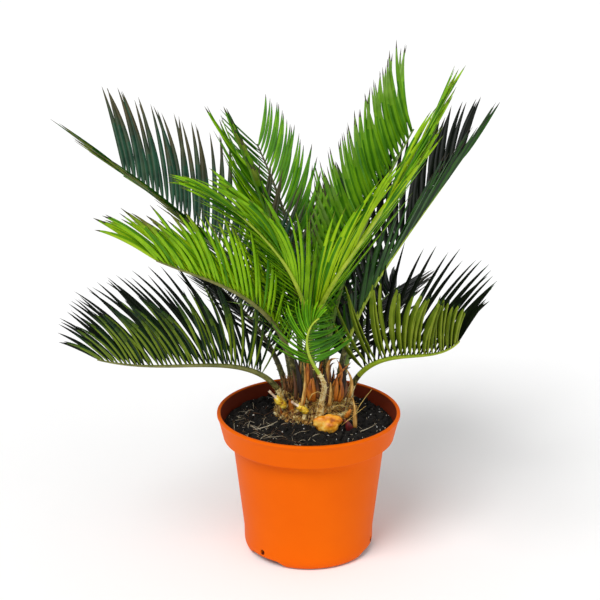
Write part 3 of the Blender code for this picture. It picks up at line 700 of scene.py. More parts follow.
def scatter(name, random, edge, count, smallest, largest, tints, flatness, share, lift, subdivisions=1,
            roughen=0.0003):
    points, sizes, turns, picks = [], [], [], []
    for _ in range(count):
        x, y = randomSpot(random, edge - smallest, compost["crumbsUnder"])
        size = smallest + (largest - smallest) * random.random() ** 2.6
        size = min(size, (compostEdge() - 0.0006 - (x * x + y * y) ** 0.5) * 1.2 + smallest)
        points.append((x, y, compostHeight(x, y) + size * lift))
        sizes.append(size * np.array([random.uniform(0.8, 1.5), random.uniform(0.7, 1.1), flatness]))
        turns.append(random.uniform(0, 2 * pi, 3) * np.array([0.5, 0.5, 1.0]))
        picks.append(1 if random.random() < share else 2)
    piece = grow(name, crumbTree, points, {"crumbSize": sizes, "crumbTurn": turns, "crumbTint": picks},
                 {"Subdivisions": subdivisions, "Roughen": roughen, "Tint 1": finishes[tints[0]],
                  "Tint 2": finishes[tints[1]]})
    return finishPiece(piece, "soil")


def fibreBlades(random, edge):
    blades = []
    for k in range(fibre["count"]):
        x, y = randomSpot(random, edge - fibre["rimGap"], fibre["under"])
        if x > 0 and k % 3:
            x = -x    # most lie on the left
        if not outsideTrunk(x, y, fibre["under"]):
            continue
        length = random.uniform(*fibre["length"])
        turn = random.uniform(0, 2 * pi)
        end = np.array([x + length * cos(turn), y + length * sin(turn)])
        if (end ** 2).sum() > (edge - 0.001) ** 2:
            continue
        aside = random.normal(0, 0.08) * length
        middle = np.array([x + end[0], y + end[1]]) / 2 + aside * np.array([-sin(turn), cos(turn)])
        lift = random.uniform(*fibre["lift"])
        blades.append(dict(
            root=(x, y, compostHeight(x, y) + fibre["footLift"]),
            bend=(*middle, compostHeight(*middle) + lift * 2),
            tip=(*end, compostHeight(*end) + random.uniform(*fibre["tipLift"])), wide=(0, 0, 1), twist=0.0,
            width=random.uniform(*fibre["width"]), tint=int(random.integers(1, 5))))
    return blades + [bladeRow(*row, wide=(0, 0, 1), twist=0.0) for row in longRoots]


def makeCompostTop():
    random = np.random.default_rng(compost["seed"])
    edge = compostEdge() - compost["topGap"]
    for name, own in scatterings.items():
        scatter(name, random, edge, **own)
    piece = growBlades("compostFibres", fibreTree, fibreBlades(random, edge),
                       ("rootPale", "peatShred", "scaleBrown", "rootPale"), Around=3, Stations=5,
                       Thickness=0.0005, Fold=0.0)
    finishPiece(piece, "soil")


makeCompost()
makeCompostTop()
print("compost made")


# Fronds: the same rule as the part's source, carried to finer leaflets
frondDefaults = dict(sway=0, pitch=(45, 0), bend=3, bare=0.2, pairs=32, face=None, leaf=0.065, first=0.5,
                     last=0.8, fall=0.45, spread=(60, 32), other=None, keel=25, roll=0, twist=0, curl=8,
                     droop=0.0, width=0.0034, thin=1.0, slant=22, bow=0.05, close=0.45, loose=1.0,
                     tint=("leafMid", "leafDeep", "leafMid", "leafDeep"), outer=("leafDusk", "leafDusk"),
                     zone=(0.75, 0.75), rib="ribGreen", stalk="petiole", foot="petiole", tip="leafDryTip")
ribShape = dict(foot=0.0023, tip=0.00055, flare=0.0007, flareLength=0.005, sunk=0.004, stations=60,
                woolLength=0.016, clear=0.0003)
thorn = dict(count=4, first=0.35, span=0.62, length=(0.0010, 0.0024), width=0.0009)    # on each side
upright = 90    # every rib leaves the stem straight up
# Angles in degrees and lengths in metres. tint: two for the row on each side of the rib, a lighter one and a
# darker one that is painted shade on one half of each leaflet. outer: what each row turns to past zone, a
# share of a leaflet's length
fronds = {
    "frond_left_high": dict(
        terrace="middle", seat=178, azimuth=160, sway=14, pitch=(33, -1), bend=2, length=0.202,
        leaf=0.083, last=0.98, spread=(69, 47), other=(61, 39), keel=32, roll=33, twist=-27, curl=4,
        tint=("leafSlate", "leafBlue", "leafOlive", "leafDeep"), zone=(0.55, 0.75), tip="leafDusk",
        outer=("leafDusk", "leafStraw"), width=0.0039, pairs=42, close=0, loose=0.5),
    "frond_left_bright": dict(
        terrace="middle", seat=214, azimuth=230, sway=-6, pitch=(17, 12), bend=2, length=0.190,
        leaf=0.066, last=0.95, spread=(70, 34), keel=68, roll=-19, curl=22, pairs=31,
        tint=("leafLime", "leafFresh", "leafBright", "leafMid"), outer=("leafFresh", "leafStraw"),
        rib="ribOlive", tip="leafDusk", width=0.0042),
    "frond_front_left": dict(
        terrace="middle", seat=262, azimuth=269, sway=-75, pitch=(55, -14), bend=1.9, length=0.184,
        bare=0.24, leaf=0.070, last=0.6, spread=(80, 22), other=(26, 14), keel=45, roll=-36, curl=9,
        droop=0.6, pairs=30, width=0.0040, tint=("leafBright", "leafMid", "leafBright", "leafMid"),
        rib="ribLime", tip="leafOlive", outer=("leafBright", "leafFresh"), zone=(0.7, 0.7)),
    "frond_folded_left": dict(
        terrace="inner", seat=165, azimuth=212, pitch=(77, -11), bend=4, length=0.168, leaf=0.064,
        last=0.9, spread=(45, 20), keel=-28, curl=5, pairs=31,
        tint=("leafBright", "leafMid", "leafFresh", "leafDeep"), outer=("leafFresh", "leafStraw"),
        zone=(0.7, 0.75), tip="leafDusk", width=0.0056, slant=55),
    "frond_back_upright": dict(
        terrace="inner", seat=105, azimuth=118, sway=8, pitch=(59, -12), bend=2, length=0.178,
        leaf=0.057, last=0.7, spread=(55, 37), keel=27, roll=16, pairs=35, width=0.0040,
        tint=("leafFresh", "leafMid", "leafMid", "leafDeep"), outer=("leafMid", "leafMid"),
        zone=(0.7, 0.7), rib="ribBrown", tip="leafDusk", loose=0.5, close=0),
    "frond_right_upright": dict(
        terrace="inner", seat=45, azimuth=40, sway=-12, pitch=(62, -6), length=0.192, leaf=0.073,
        last=1.0, spread=(62, 60), other=(58, 42), keel=58, roll=22, curl=14,
        tint=("leafFresh", "leafMid", "leafFresh", "leafMid"), outer=("leafMist", "leafMist"),
        zone=(0.6, 0.6), tip="leafDusk", loose=0.4, close=0),
    "frond_folded_right": dict(
        terrace="inner", seat=215, azimuth=-66, sway=36, pitch=(42, 26), bend=3.6, length=0.242,
        bare=0.22, leaf=0.104, first=1.0, fall=0.05, last=0.43, spread=(7, 4), other=(38, -3), keel=30,
        roll=12, pairs=28, tint=("leafLime", "leafMid", "leafBright", "leafMid"), rib="ribLime",
        tip="leafOlive", outer=("leafBright", "leafFresh"), zone=(0.7, 0.7), width=0.0036),
    "frond_right_high": dict(
        terrace="middle", seat=10, azimuth=21, sway=5, pitch=(48, 2), length=0.190, leaf=0.083,
        last=0.58, spread=(62, 26), keel=43, pairs=30, width=0.0044,
        tint=("leafDeep", "leafShade", "leafNight", "leafNight"), outer=("leafSlate", "leafNight"),
        zone=(0.75, 0.5), rib="ribLime"),
    "frond_left_low": dict(
        terrace="outer", seat=200, azimuth=200, sway=13, pitch=(-4, 28), bend=4, length=0.160,
        leaf=0.085, first=0.4, last=0.4, spread=(68, 48), other=(78, 44), keel=66, roll=-2, curl=12,
        pairs=37, width=0.0030, tint=("leafShade", "leafNight", "leafOlive", "leafShade"),
        outer=("leafNight", "leafShade"), zone=(0.3, 0.6), rib="ribOlive", tip="leafNight", loose=0.6,
        close=0.65, foot="woolFoot"),
    "frond_right_low": dict(
        terrace="outer", seat=9, azimuth=-35, sway=-35, pitch=(1, 39), bend=3.3, length=0.150,
        leaf=0.092, last=0.44, spread=(68, 33), other=(78, 30), keel=62, roll=-8, pairs=23, width=0.0057,
        tint=("leafReed", "leafOlive", "leafNight", "leafNight"), outer=("leafOlive", "leafNight"),
        zone=(0.9, 0.4), rib="ribLime", tip="leafShade", loose=0.3, thin=0.6, foot="woolFoot"),
    "frond_front_small": dict(
        terrace="outer", seat=-83, azimuth=-45, sway=-161, pitch=(-8, 153), bend=2.2, face=-90,
        length=0.096, bare=0.59, leaf=0.037, first=0.9, fall=0.05, last=0.3, spread=(80, 42),
        other=(118, 85), keel=32, curl=30, pairs=22, width=0.0029,
        tint=("leafFresh", "leafMid", "leafMid", "leafDeep"), rib="ribLime", stalk="woolFoot",
        tip="leafMid", outer=("leafBright", "leafDeep"), zone=(0.8, 0.8), foot="woolFoot"),
    # The next two low fronds at the back take the near-black and dark green tints throughout: painted shade
    "frond_back_left_low": dict(
        terrace="outer", seat=150, azimuth=137, sway=-34, pitch=(8, -12), length=0.150, leaf=0.052,
        last=0.7, spread=(60, 30), curl=9, tint=("leafShade", "leafNight", "leafShade", "leafNight"),
        rib="ribBrown", outer=("leafNight", "leafNight"), tip="leafNight", width=0.0056),
    "frond_back_right_low": dict(
        terrace="outer", seat=40, azimuth=62, sway=8, pitch=(7, -10), length=0.135, leaf=0.060,
        last=0.7, spread=(65, 32), keel=22, tint=("leafNight", "leafNight", "leafShade", "leafNight"),
        width=0.0056),
    "frond_back_low": dict(
        terrace="outer", seat=95, azimuth=92, sway=6, pitch=(22, -16), length=0.180, leaf=0.064,
        last=0.7, spread=(62, 32), keel=18, tint=("leafMid", "leafDeep", "leafDeep", "leafShade"),
        width=0.0042),
    "frond_back_middle": dict(
        terrace="middle", seat=75, azimuth=70, sway=4, pitch=(34, -18), length=0.190, leaf=0.062,
        last=0.7, keel=18, tint=("leafMid", "leafDeep", "leafMid", "leafShade"), width=0.0042),
}


def ribLine(frond):
    terrace = terraces[frond["terrace"]]
    seat = radians(frond["seat"])
    foot = onTrunk(seat, terrace["seat"], terrace["height"] + ribShape["clear"])
    count = ribShape["stations"]
    s = np.linspace(0.0, 1.0, count + 1)
    lean, lift = frond["pitch"]
    pitch = np.radians(lean + (upright - lean) * (1 - s) ** frond["bend"] + lift * s ** 2)
    azimuth = np.radians(frond["azimuth"] + frond["sway"] * s)
    tangents = np.stack([np.cos(pitch) * np.cos(azimuth), np.cos(pitch) * np.sin(azimuth), np.sin(pitch)], 1)
    steps = (tangents[1:] + tangents[:-1]) / 2 * frond["length"] / count
    points = np.vstack([foot, foot + np.cumsum(steps, axis=0)])
    facing = azimuth if frond["face"] is None else np.full_like(s, radians(frond["face"]))
    level = np.stack([np.sin(facing), -np.cos(facing), np.zeros_like(s)], 1)
    normals = np.cross(level, tangents)
    normals /= np.linalg.norm(normals, axis=1)[:, None]
    sides = np.cross(tangents, normals)
    roll = np.radians(frond["roll"] + frond["twist"] * s)[:, None]
    return (s, points, tangents, np.cos(roll) * sides + np.sin(roll) * normals,
            np.cos(roll) * normals - np.sin(roll) * sides)


def atShare(line, share):
    s, *paths = line
    return [np.array([np.interp(share, s, path[:, axis]) for axis in range(3)]) for path in paths]


def leafShare(frond, q):
    rising = frond["first"] + (1 - frond["first"]) * sin(min(q / 0.22, 1.0) * pi / 2)
    falling = 1 - (1 - frond["last"]) * max((q - frond["fall"]) / (1 - frond["fall"]), 0.0) ** 1.8
    return rising * falling


def ribRadius(frond, share):
    flare = ribShape["flare"] * exp(-share * frond["length"] / ribShape["flareLength"])
    return ribShape["tip"] + (ribShape["foot"] - ribShape["tip"]) * (1 - share) ** 1.1 + flare


leafSpread = dict(place=0.2, clump=1.5, forward=1.2, keel=2.6, curl=4.0, slant=9.0, twist=12.0, zone=0.12)
leafSteps = 6    # of a leaflet's path


def leafletPath(frond, here, tangent, out, length, forward, curl):
    path, ways = [here], []
    for k in range(leafSteps):
        u = (k + 0.5) / leafSteps
        way = cos(forward - curl * u) * tangent + sin(forward - curl * u) * out
        way = way - np.array([0.0, 0.0, frond["droop"] * u])
        way /= np.linalg.norm(way)
        ways.append(way)
        path.append(path[-1] + way * length / leafSteps)
    return path, ways


def leafletBlades(frond, line, random):
    blades = []
    loose = frond["loose"]
    for side, row in ((1, 0), (-1, 1)):
        clump = 0.0
        first, last = frond["other"] if frond["other"] and row else frond["spread"]
        for pair in range(frond["pairs"]):
            q = (pair + 0.5 + random.uniform(-leafSpread["place"], leafSpread["place"])) / frond["pairs"]
            share = frond["bare"] + (1 - frond["bare"]) * q
            point, tangent, across, normal = atShare(line, share)
            # neighbours lean together, with gaps between, and the last ones close to the tip
            clump = 0.6 * clump + random.normal(0, leafSpread["clump"]) * loose
            forward = last + (first - last) * (1 - q) ** 2
            forward *= 1 - frond["close"] * max((q - 0.75) / 0.25, 0.0) ** 1.6
            forward = radians(forward + clump + random.normal(0, leafSpread["forward"]) * loose)
            keel = radians(frond["keel"] + random.normal(0, leafSpread["keel"]) * loose)
            out = cos(keel) * side * across + sin(keel) * normal
            length = frond["leaf"] * leafShare(frond, q) * random.uniform(0.9, 1.0)
            curl = radians(frond["curl"] + random.normal(0, leafSpread["curl"]))
            here = point + (side * across * 0.5 + normal * 0.6) * ribRadius(frond, share)
            path, ways = leafletPath(frond, here, tangent, out, length, forward, curl)
            wide = tangent - np.dot(tangent, ways[2]) * ways[2]
            wide /= np.linalg.norm(wide)
            flat = np.cross(wide, ways[2])
            bow = -wide * length * frond["bow"] * random.uniform(0.6, 1.4)    # each leaves its rib in a curve
            slant = radians(frond["slant"] + random.normal(0, leafSpread["slant"]) * loose) * side
            wide = cos(slant) * wide + sin(slant) * flat
            # The darker tint is painted shade, laid on one half of the leaflet as if that side of the fold
            # were in shadow
            paintedShadeSide = 2 if random.random() < 0.2 else 1    # which half of the blade is the darker one
            width = frond["width"] * (frond["thin"] if row else 1) * random.uniform(0.86, 1.08)
            twist = radians(random.normal(0, leafSpread["twist"]) * loose)
            blades.append(dict(
                root=path[0], bend=path[0] + ways[0] * length * 0.5 + bow, tip=path[-1], wide=wide,
                width=width * (0.6 + 0.4 * leafShare(frond, q)), twist=twist, tint=paintedShadeSide + 2 * row,
                shadedHalfStep=3 - 2 * paintedShadeSide, zone=frond["zone"][row] + random.normal(0, leafSpread["zone"])))
    return blades


def thornBlades(frond, line, random):
    blades = []
    for k in range(thorn["count"]):
        for side in (1, -1):
            share = thorn["first"] + thorn["span"] * (k + random.uniform(0.2, 0.8)) / thorn["count"]
            share = frond["bare"] * share
            point, tangent, across, normal = atShare(line, share)
            radius = ribRadius(frond, share)
            root = point + side * across * radius * 0.8
            length = random.uniform(*thorn["length"])
            way = side * across + tangent * random.uniform(0.2, 0.9) + normal * random.normal(0, 0.3)
            way /= np.linalg.norm(way)
            blades.append(dict(root=root, bend=root + way * length * 0.6, wide=tangent, twist=0.0, tint=1,
                               tip=root + (way + tangent * 0.3) * length, width=thorn["width"]))
    return blades


def ribPiece(name, frond, line):
    s, points = line[:2]
    lineUp = np.vstack([points[0] - np.array([0.0, 0.0, ribShape["sunk"]]), points])
    shares = np.concatenate([[-0.001], s])
    radii = [ribRadius(frond, max(share, 0.0)) for share in shares]
    edges = [(k, k + 1) for k in range(len(lineUp) - 1)]
    return grow(name, ribTree, lineUp, {"ribRadius": radii, "ribShare": shares},
                {"Sides": 12, "Foot Share": ribShape["woolLength"] / frond["length"],
                 "Stalk Share": frond["bare"] * 0.85, "Rib": finishes[frond["rib"]],
                 "Stalk": finishes[frond["stalk"]], "Foot": finishes[frond["foot"]]}, edges)


firstSeed = 100    # each frond draws from its own
frondLines = {}
for index, (node, own) in enumerate(fronds.items()):
    frond = {**frondDefaults, **own}
    fronds[node] = frond
    line = ribLine(frond)
    frondLines[node] = line
    random = np.random.default_rng(firstSeed + index)
    leaflets = growBlades(node + "_leaflets", leafTree, leafletBlades(frond, line, random), frond["tint"],
                          frond["outer"], frond["tip"], Around=6, Stations=12, Thickness=0.0004, Fold=0.34,
                          **{"Tip Share": 0.95})
    finishPiece(leaflets, node, node)
    thorns = growBlades(node + "_thorns", scaleTree, thornBlades(frond, line, random), (frond["stalk"],) * 4,
                        Around=3, Stations=3, Thickness=0.0007, Fold=0.0)
    finishPiece(joinPieces(ribPiece(node + "_rib", frond, line), thorns), node, node)
print("fronds grown")


# Trunk: a rough terraced core, the scales of old leaf bases, and felt round the feet of the fronds
core = dict(sides=150, rough=0.0011, fine=0.0003, seed=5)
scaleRings = [
    dict(count=24, radius=0.0272, height=0.0945, length=0.0090, width=0.0036, lean=0.0034),
    dict(count=26, radius=0.0248, height=0.0975, length=0.0130, width=0.0034, lean=0.0032),
    dict(count=26, radius=0.0210, height=0.1015, length=0.0160, width=0.0036, lean=0.0030),
    dict(count=22, radius=0.0170, height=0.1075, length=0.0190, width=0.0036, lean=0.0026),
    dict(count=16, radius=0.0118, height=0.1125, length=0.0220, width=0.0034, lean=0.0020),
    dict(count=9, radius=0.0060, height=0.1160, length=0.0200, width=0.0032, lean=0.0010),
]
# The larger scales and strips that show in front: foot, bend, tip and width in millimetres, and the tint:
# 1 orange, 2 tan, 3 brown, 4 dark
frontScales = [
    ((1.0, -8.5, 113.5), (0.0, -15.0, 125.0), (2.2, -10.5, 133.0), 4.0, 1),
    ((4.0, -8.5, 113.0), (4.0, -15.6, 124.0), (2.8, -11.0, 134.5), 3.6, 1),
    ((6.5, -10.0, 116.0), (7.2, -13.5, 125.0), (5.0, -9.0, 131.0), 3.0, 3),
    ((-0.5, -10.0, 124.0), (-0.6, -12.0, 136.0), (-1.0, -6.0, 146.0), 3.4, 1),
    ((1.5, -9.0, 126.0), (2.0, -10.5, 138.0), (1.0, -5.0, 147.0), 2.6, 3),
    ((-6.0, -13.0, 109.0), (0.0, -14.0, 129.0), (-4.2, -8.0, 146.0), 2.0, 2),
    ((-4.0, -12.0, 111.0), (0.0, -12.5, 126.0), (-2.8, -8.0, 142.0), 1.6, 1),
    ((-7.0, -8.0, 120.0), (-6.0, -9.0, 142.0), (-12.5, -4.0, 149.0), 2.6, 4),
    ((-5.5, -9.0, 116.0), (-4.0, -11.0, 132.0), (-10.0, -6.0, 143.0), 2.6, 4),
    ((-9.0, -8.0, 114.0), (-8.5, -10.0, 128.0), (-12.0, -5.0, 138.0), 2.4, 3),
    ((14.0, -6.0, 126.0), (10.5, -7.0, 148.0), (21.5, -3.0, 143.0), 2.6, 2),
    ((15.0, -6.0, 125.0), (13.0, -6.0, 142.0), (18.5, -3.0, 140.0), 1.8, 3),
    ((21.5, -5.0, 124.0), (25.0, -6.0, 137.0), (19.5, -3.0, 142.5), 2.4, 1),
    ((17.0, -7.0, 124.0), (20.5, -8.5, 134.5), (30.5, 0.0, 140.0), 1.8, 1),
    ((28.5, -6.0, 115.0), (33.5, -6.0, 128.0), (25.0, -2.0, 137.0), 2.4, 2),
    ((19.0, -8.0, 113.0), (19.5, -13.0, 124.0), (20.0, -7.0, 132.0), 3.4, 1),
    ((21.5, -8.0, 112.5), (25.0, -12.8, 122.0), (21.5, -7.0, 133.0), 3.4, 1),
    ((24.0, -8.0, 115.0), (27.5, -11.0, 123.0), (26.0, -5.0, 129.0), 2.6, 3),
    ((23.0, -3.0, 115.0), (24.5, -4.0, 129.0), (24.0, 1.0, 140.0), 6.0, 4),
    ((12.0, -10.0, 113.0), (13.0, -13.0, 126.0), (11.5, -8.0, 137.0), 3.6, 3),
    ((14.5, -10.0, 110.0), (16.0, -13.5, 120.0), (15.0, -8.0, 130.0), 2.6, 2),
    ((33.0, -14.0, 94.5), (33.5, -14.5, 108.0), (30.0, -12.5, 120.5), 2.0, 2),
    ((32.2, -13.6, 94.5), (31.2, -15.0, 104.0), (32.2, -12.5, 113.0), 1.6, 2),
    ((26.5, -12.5, 102.0), (28.0, -15.0, 107.0), (30.0, -12.5, 110.0), 3.4, 1),
]
# Long loose fibres, and the red scale of the bud by the bulb, in the same way
longFibres = [
    ((0.0, -14.0, 116.0), (3.0, -16.5, 130.0), (18.0, -14.0, 117.0), 0.6),
    ((31.0, -14.0, 102.0), (35.0, -15.0, 114.0), (44.0, -14.0, 124.5), 0.7),
    ((23.0, -18.0, 99.0), (31.0, -18.0, 106.0), (40.0, -16.0, 113.0), 0.5),
    ((15.0, -13.0, 108.0), (21.5, -16.0, 118.0), (29.0, -13.0, 108.0), 0.5),
]
budScale = ((29.0, -16.5, 94.0), (28.5, -18.0, 99.0), (24.5, -16.0, 103.0), 5.2)
scaleFacing = (1.0, 0.15, 0.0)    # the way across the scales in front
felt = dict(lumps=420, inFront=260, smallest=0.0008, largest=0.0036, angle=-1.35, spread=0.5)
wool = dict(onTerraces=2600, inFront=900, angle=-1.35, spread=0.55, onStalk=45, onWoolStalk=110, redHairs=26,
            terraceHair=0.0042, frontHair=0.0048, stalkHair=0.0022, width=(0.00014, 0.00030), wild=0.75,
            curl=0.9)
stemHeights = (0.0965, 0.1015, 0.1030, 0.1125, 0.1140, 0.1180)
stemOutlines = {    # heights, and how far out the growth of each kind stands there
    "wool": (stemHeights, (0.0284, 0.0268, 0.0212, 0.0200, 0.0140, 0.0120)),
    "frontWool": ((0.0965, 0.1015, 0.1030, 0.1140), (0.0290, 0.0280, 0.0245, 0.0215)),
    "felt": (stemHeights, (0.0284, 0.0276, 0.0235, 0.0210, 0.0150, 0.0120)),
}


def stemRadius(kind, height):
    return float(np.interp(height, *stemOutlines[kind]))


def coreSection(angle):
    (outerEdge, outerTop), (middleEdge, middleTop), (innerEdge, innerTop) = (
        (terrace["edge"], terrace["height"]) for terrace in terraces.values())
    foot = trunk["foot"] - 0.0012
    knots = [(0.0, foot), (trunk["flare"] - 0.0012, foot), (trunk["flare"] - 0.0008, foot + 0.003),
             (outerEdge - 0.0008, outerTop - 0.0035), (outerEdge - 0.0024, outerTop - 0.0004),
             (middleEdge + 0.0010, outerTop + 0.0014), (middleEdge - 0.0002, middleTop - 0.0035),
             (middleEdge - 0.0018, middleTop - 0.0006), (innerEdge + 0.0008, middleTop + 0.0008),
             (innerEdge - 0.0012, innerTop - 0.0004), (0.0, innerTop)]
    section = []
    steps = 6
    for (r0, z0), (r1, z1) in zip(knots, knots[1:]):
        for k in range(steps):
            share = k / steps
            radius, height = r0 + (r1 - r0) * share, z0 + (z1 - z0) * share
            if radius == 0.0:
                section.append((0.0, height))
                continue
            x, y = radius * cos(angle), radius * sin(angle)
            rough = bumpy(x, y, height, 0.0048, 4) * core["rough"]
            rough += bumpy(x, y, height + 3, 0.0016, 2) * core["fine"]
            section.append((max(radius + rough, 0.0004), height + rough * 0.4))
    section.append((0.0, innerTop))
    return section


def scaleBlades(random):
    blades = []
    for ring in scaleRings:
        offset = random.uniform(0, 2 * pi)
        for k in range(ring["count"]):
            angle = offset + 2 * pi * (k + random.uniform(-0.4, 0.4)) / ring["count"]
            length = ring["length"] * random.uniform(0.45, 1.3)
            lean = ring["lean"] * random.uniform(-0.2, 1.6)
            out = np.array([cos(angle), sin(angle), 0.0])
            side = np.array([-sin(angle), cos(angle), 0.0])
            root = onTrunk(angle, ring["radius"] - 0.0012, ring["height"] + random.uniform(-0.002, 0.002))
            sway = side * random.normal(0, 0.0022)
            blades.append(dict(
                root=root, bend=root + out * lean * 1.3 + np.array([0, 0, length * 0.5]) + sway * 0.3,
                tip=root + out * lean * random.uniform(-0.6, 1.6) + np.array([0, 0, length]) + sway * 2,
                wide=side, width=ring["width"] * random.uniform(0.45, 1.5),
                twist=radians(random.normal(0, 34)),
                tint=int(random.choice([1, 2, 3, 4], p=[0.20, 0.30, 0.27, 0.23]))))
    for row in frontScales:
        blades.append(bladeRow(*row, wide=scaleFacing, twist=radians(random.normal(0, 12))))
    return blades


def woolBlades(random):
    blades = []

    def hair(root, out, longest):
        way = out + random.normal(0, wool["wild"], 3)
        way /= np.linalg.norm(way)
        length = random.uniform(0.3, 1.0) * longest
        bend = root + way * length * 0.6
        tip = bend + (way + random.normal(0, wool["curl"], 3)) * length * 0.35
        blades.append(dict(root=root, bend=bend, tip=tip, wide=random.normal(0, 1, 3), twist=0.0,
                           width=random.uniform(*wool["width"]), tint=int(random.integers(1, 5))))

    for node, frond in fronds.items():    # round the foot of each stalk
        line = frondLines[node]
        reach = ribShape["woolLength"] / frond["length"]
        for _ in range(wool["onWoolStalk" if frond["foot"] == "woolFoot" else "onStalk"]):
            share = reach * random.random() ** 1.6 * 1.15
            point, tangent, across, normal = atShare(line, share)
            turn = random.uniform(0, 2 * pi)
            out = cos(turn) * across + sin(turn) * normal
            hair(point + out * ribRadius(frond, share) * 0.9, out + tangent * 0.5, wool["stalkHair"])
    for _ in range(wool["onTerraces"]):
        angle = random.uniform(0, 2 * pi)
        height = random.uniform(0.0955, 0.1165)
        radius = stemRadius("wool", height) * random.uniform(0.92, 1.04)
        hair(onTrunk(angle, radius, height), np.array([cos(angle), sin(angle), 0.4]), wool["terraceHair"])
    for _ in range(wool["inFront"]):    # thicker in front
        height = random.uniform(0.0985, 0.1140)
        angle = random.normal(wool["angle"], wool["spread"])
        radius = stemRadius("frontWool", height) * random.uniform(0.95, 1.05)
        hair(onTrunk(angle, radius, height), np.array([cos(angle), sin(angle), 0.3]), wool["frontHair"])
    for _ in range(wool["redHairs"]):    # short and dark red, at the left
        root = np.array([random.uniform(-0.0175, -0.0110), random.uniform(-0.006, 0.0),
                         random.uniform(0.116, 0.121)])
        tip = root + np.array([random.normal(0, 0.0016), random.normal(0, 0.001), 0.011])
        blades.append(dict(root=root, bend=root + np.array([0, 0, 0.005]), tip=tip, wide=(1, 0, 0), twist=0.0,
                           width=0.0008, tint=3))
    blades += [bladeRow(*row, tint=4, wide=(0.0, 1.0, 0.2), twist=0.0) for row in longFibres]
    return blades


def makeFelt(random):
    points, sizes, turns, picks = [], [], [], []
    for k in range(felt["lumps"] + felt["inFront"]):
        isFront = k >= felt["lumps"]    # paler and thicker in front, over the foot of the small frond
        angle = random.normal(felt["angle"], felt["spread"]) if isFront else random.uniform(0, 2 * pi)
        height = random.uniform(0.0985, 0.1125) if isFront else 0.0945 + 0.0215 * random.random() ** 1.3
        size = felt["smallest"] + (felt["largest"] - felt["smallest"]) * random.random() ** 2
        points.append(onTrunk(angle, stemRadius("felt", height) * random.uniform(0.95, 1.04), height))
        sizes.append(size * random.uniform(0.4, 1.3, 3))
        turns.append(random.uniform(0, 2 * pi, 3))
        picks.append(1 if random.random() < (0.8 if isFront else 0.35) else 2)
    piece = grow("trunkFelt", crumbTree, points, {"crumbSize": sizes, "crumbTurn": turns, "crumbTint": picks},
                 {"Subdivisions": 2, "Roughen": 0.0008, "Tint 1": finishes["woolFoot"],
                  "Tint 2": finishes["scaleTan"]})
    finishPiece(piece, "trunk")


def makeTrunk():
    piece = meshPiece("trunkCore", *turnedShape(coreSection, core["sides"], trunk["centre"], trunk["oval"]),
                      finishes["bark"])
    finishPiece(piece, "trunk", "trunk")
    random = np.random.default_rng(core["seed"])
    scales = growBlades("trunkScales", scaleTree, scaleBlades(random),
                        ("scaleOrange", "scaleTan", "scaleBrown", "scaleDark"), tip="scaleDark", Around=6,
                        Stations=10, Thickness=0.0009, Fold=-0.35, **{"Tip Share": 0.94})
    bud = growBlades("budScale", scaleTree, [bladeRow(*budScale, wide=scaleFacing, twist=0.3)],
                     ("budRed",) * 4, tip="budRed", Around=6, Stations=10, Thickness=0.0014, Fold=-0.35)
    finishPiece(joinPieces(scales, bud), "trunk", "trunk")
    hairs = growBlades("trunkWool", fibreTree, woolBlades(random), ("wool", "wool", "woolBrown", "wool"),
                       Around=3, Stations=4, Thickness=0.0004, Fold=0.0)
    finishPiece(hairs, "trunk")
    makeFelt(random)


makeTrunk()
print("trunk made")


# The swollen offset in front of the trunk
bulb = dict(centre=(0.0134, -0.0172), radii=(0.0100, 0.0060, 0.0078), sunk=0.86, blend=14, reach=1.02,
            rough=0.07)
bulbLobes = [    # place along, across and up, and size, as shares of the bulb's radii
    dict(at=(-0.42, -0.05, 0.02), size=0.62),
    dict(at=(0.52, 0.02, 0.18), size=0.50),
    dict(at=(0.10, -0.30, -0.30), size=0.62),
    dict(at=(0.12, 0.05, 0.30), size=0.48),
    dict(at=(-0.22, -0.34, -0.42), size=0.46),
]


def makeBulb():
    sides, rings = 72, 40
    middle = trunk["foot"] + bulb["radii"][2] * bulb["sunk"]
    vertices = []
    for ring in range(rings + 1):
        latitude = pi * ring / rings - pi / 2
        for k in range(sides if 0 < ring < rings else 1):
            turn = 2 * pi * k / sides
            way = Vector((cos(latitude) * cos(turn), cos(latitude) * sin(turn), sin(latitude)))
            reach = 0.0
            for lobe in bulbLobes:    # the furthest point of any lobe in this direction
                centre = Vector(lobe["at"])
                along = way.dot(centre)
                inside = along * along - centre.dot(centre) + lobe["size"] ** 2
                if inside > 0:
                    far = max(along + inside ** 0.5, 0.0)
                    reach = (reach ** bulb["blend"] + far ** bulb["blend"]) ** (1 / bulb["blend"])
            rough = 1 + bulb["rough"] * bumpy(way.x, way.y, way.z + 5, 0.3, 4)
            spot = way * min(reach, bulb["reach"]) * rough
            spot.z = max(spot.z, -bulb["sunk"] - 0.1)
            vertices.append((bulb["centre"][0] + spot.x * bulb["radii"][0],
                             bulb["centre"][1] + spot.y * bulb["radii"][1],
                             middle + spot.z * bulb["radii"][2]))
    faces = [(0, 1 + (k + 1) % sides, 1 + k) for k in range(sides)]
    for ring in range(rings - 2):
        faces += bandFaces(1 + ring * sides, 1 + (ring + 1) * sides, sides)
    last = 1 + (rings - 2) * sides
    faces += [(last + k, last + (k + 1) % sides, len(vertices) - 1) for k in range(sides)]
    piece = meshPiece("bulbSkin", vertices, faces, finishes["bulbSkin"])
    return finishPiece(piece, "offset_bulb", "offset_bulb")


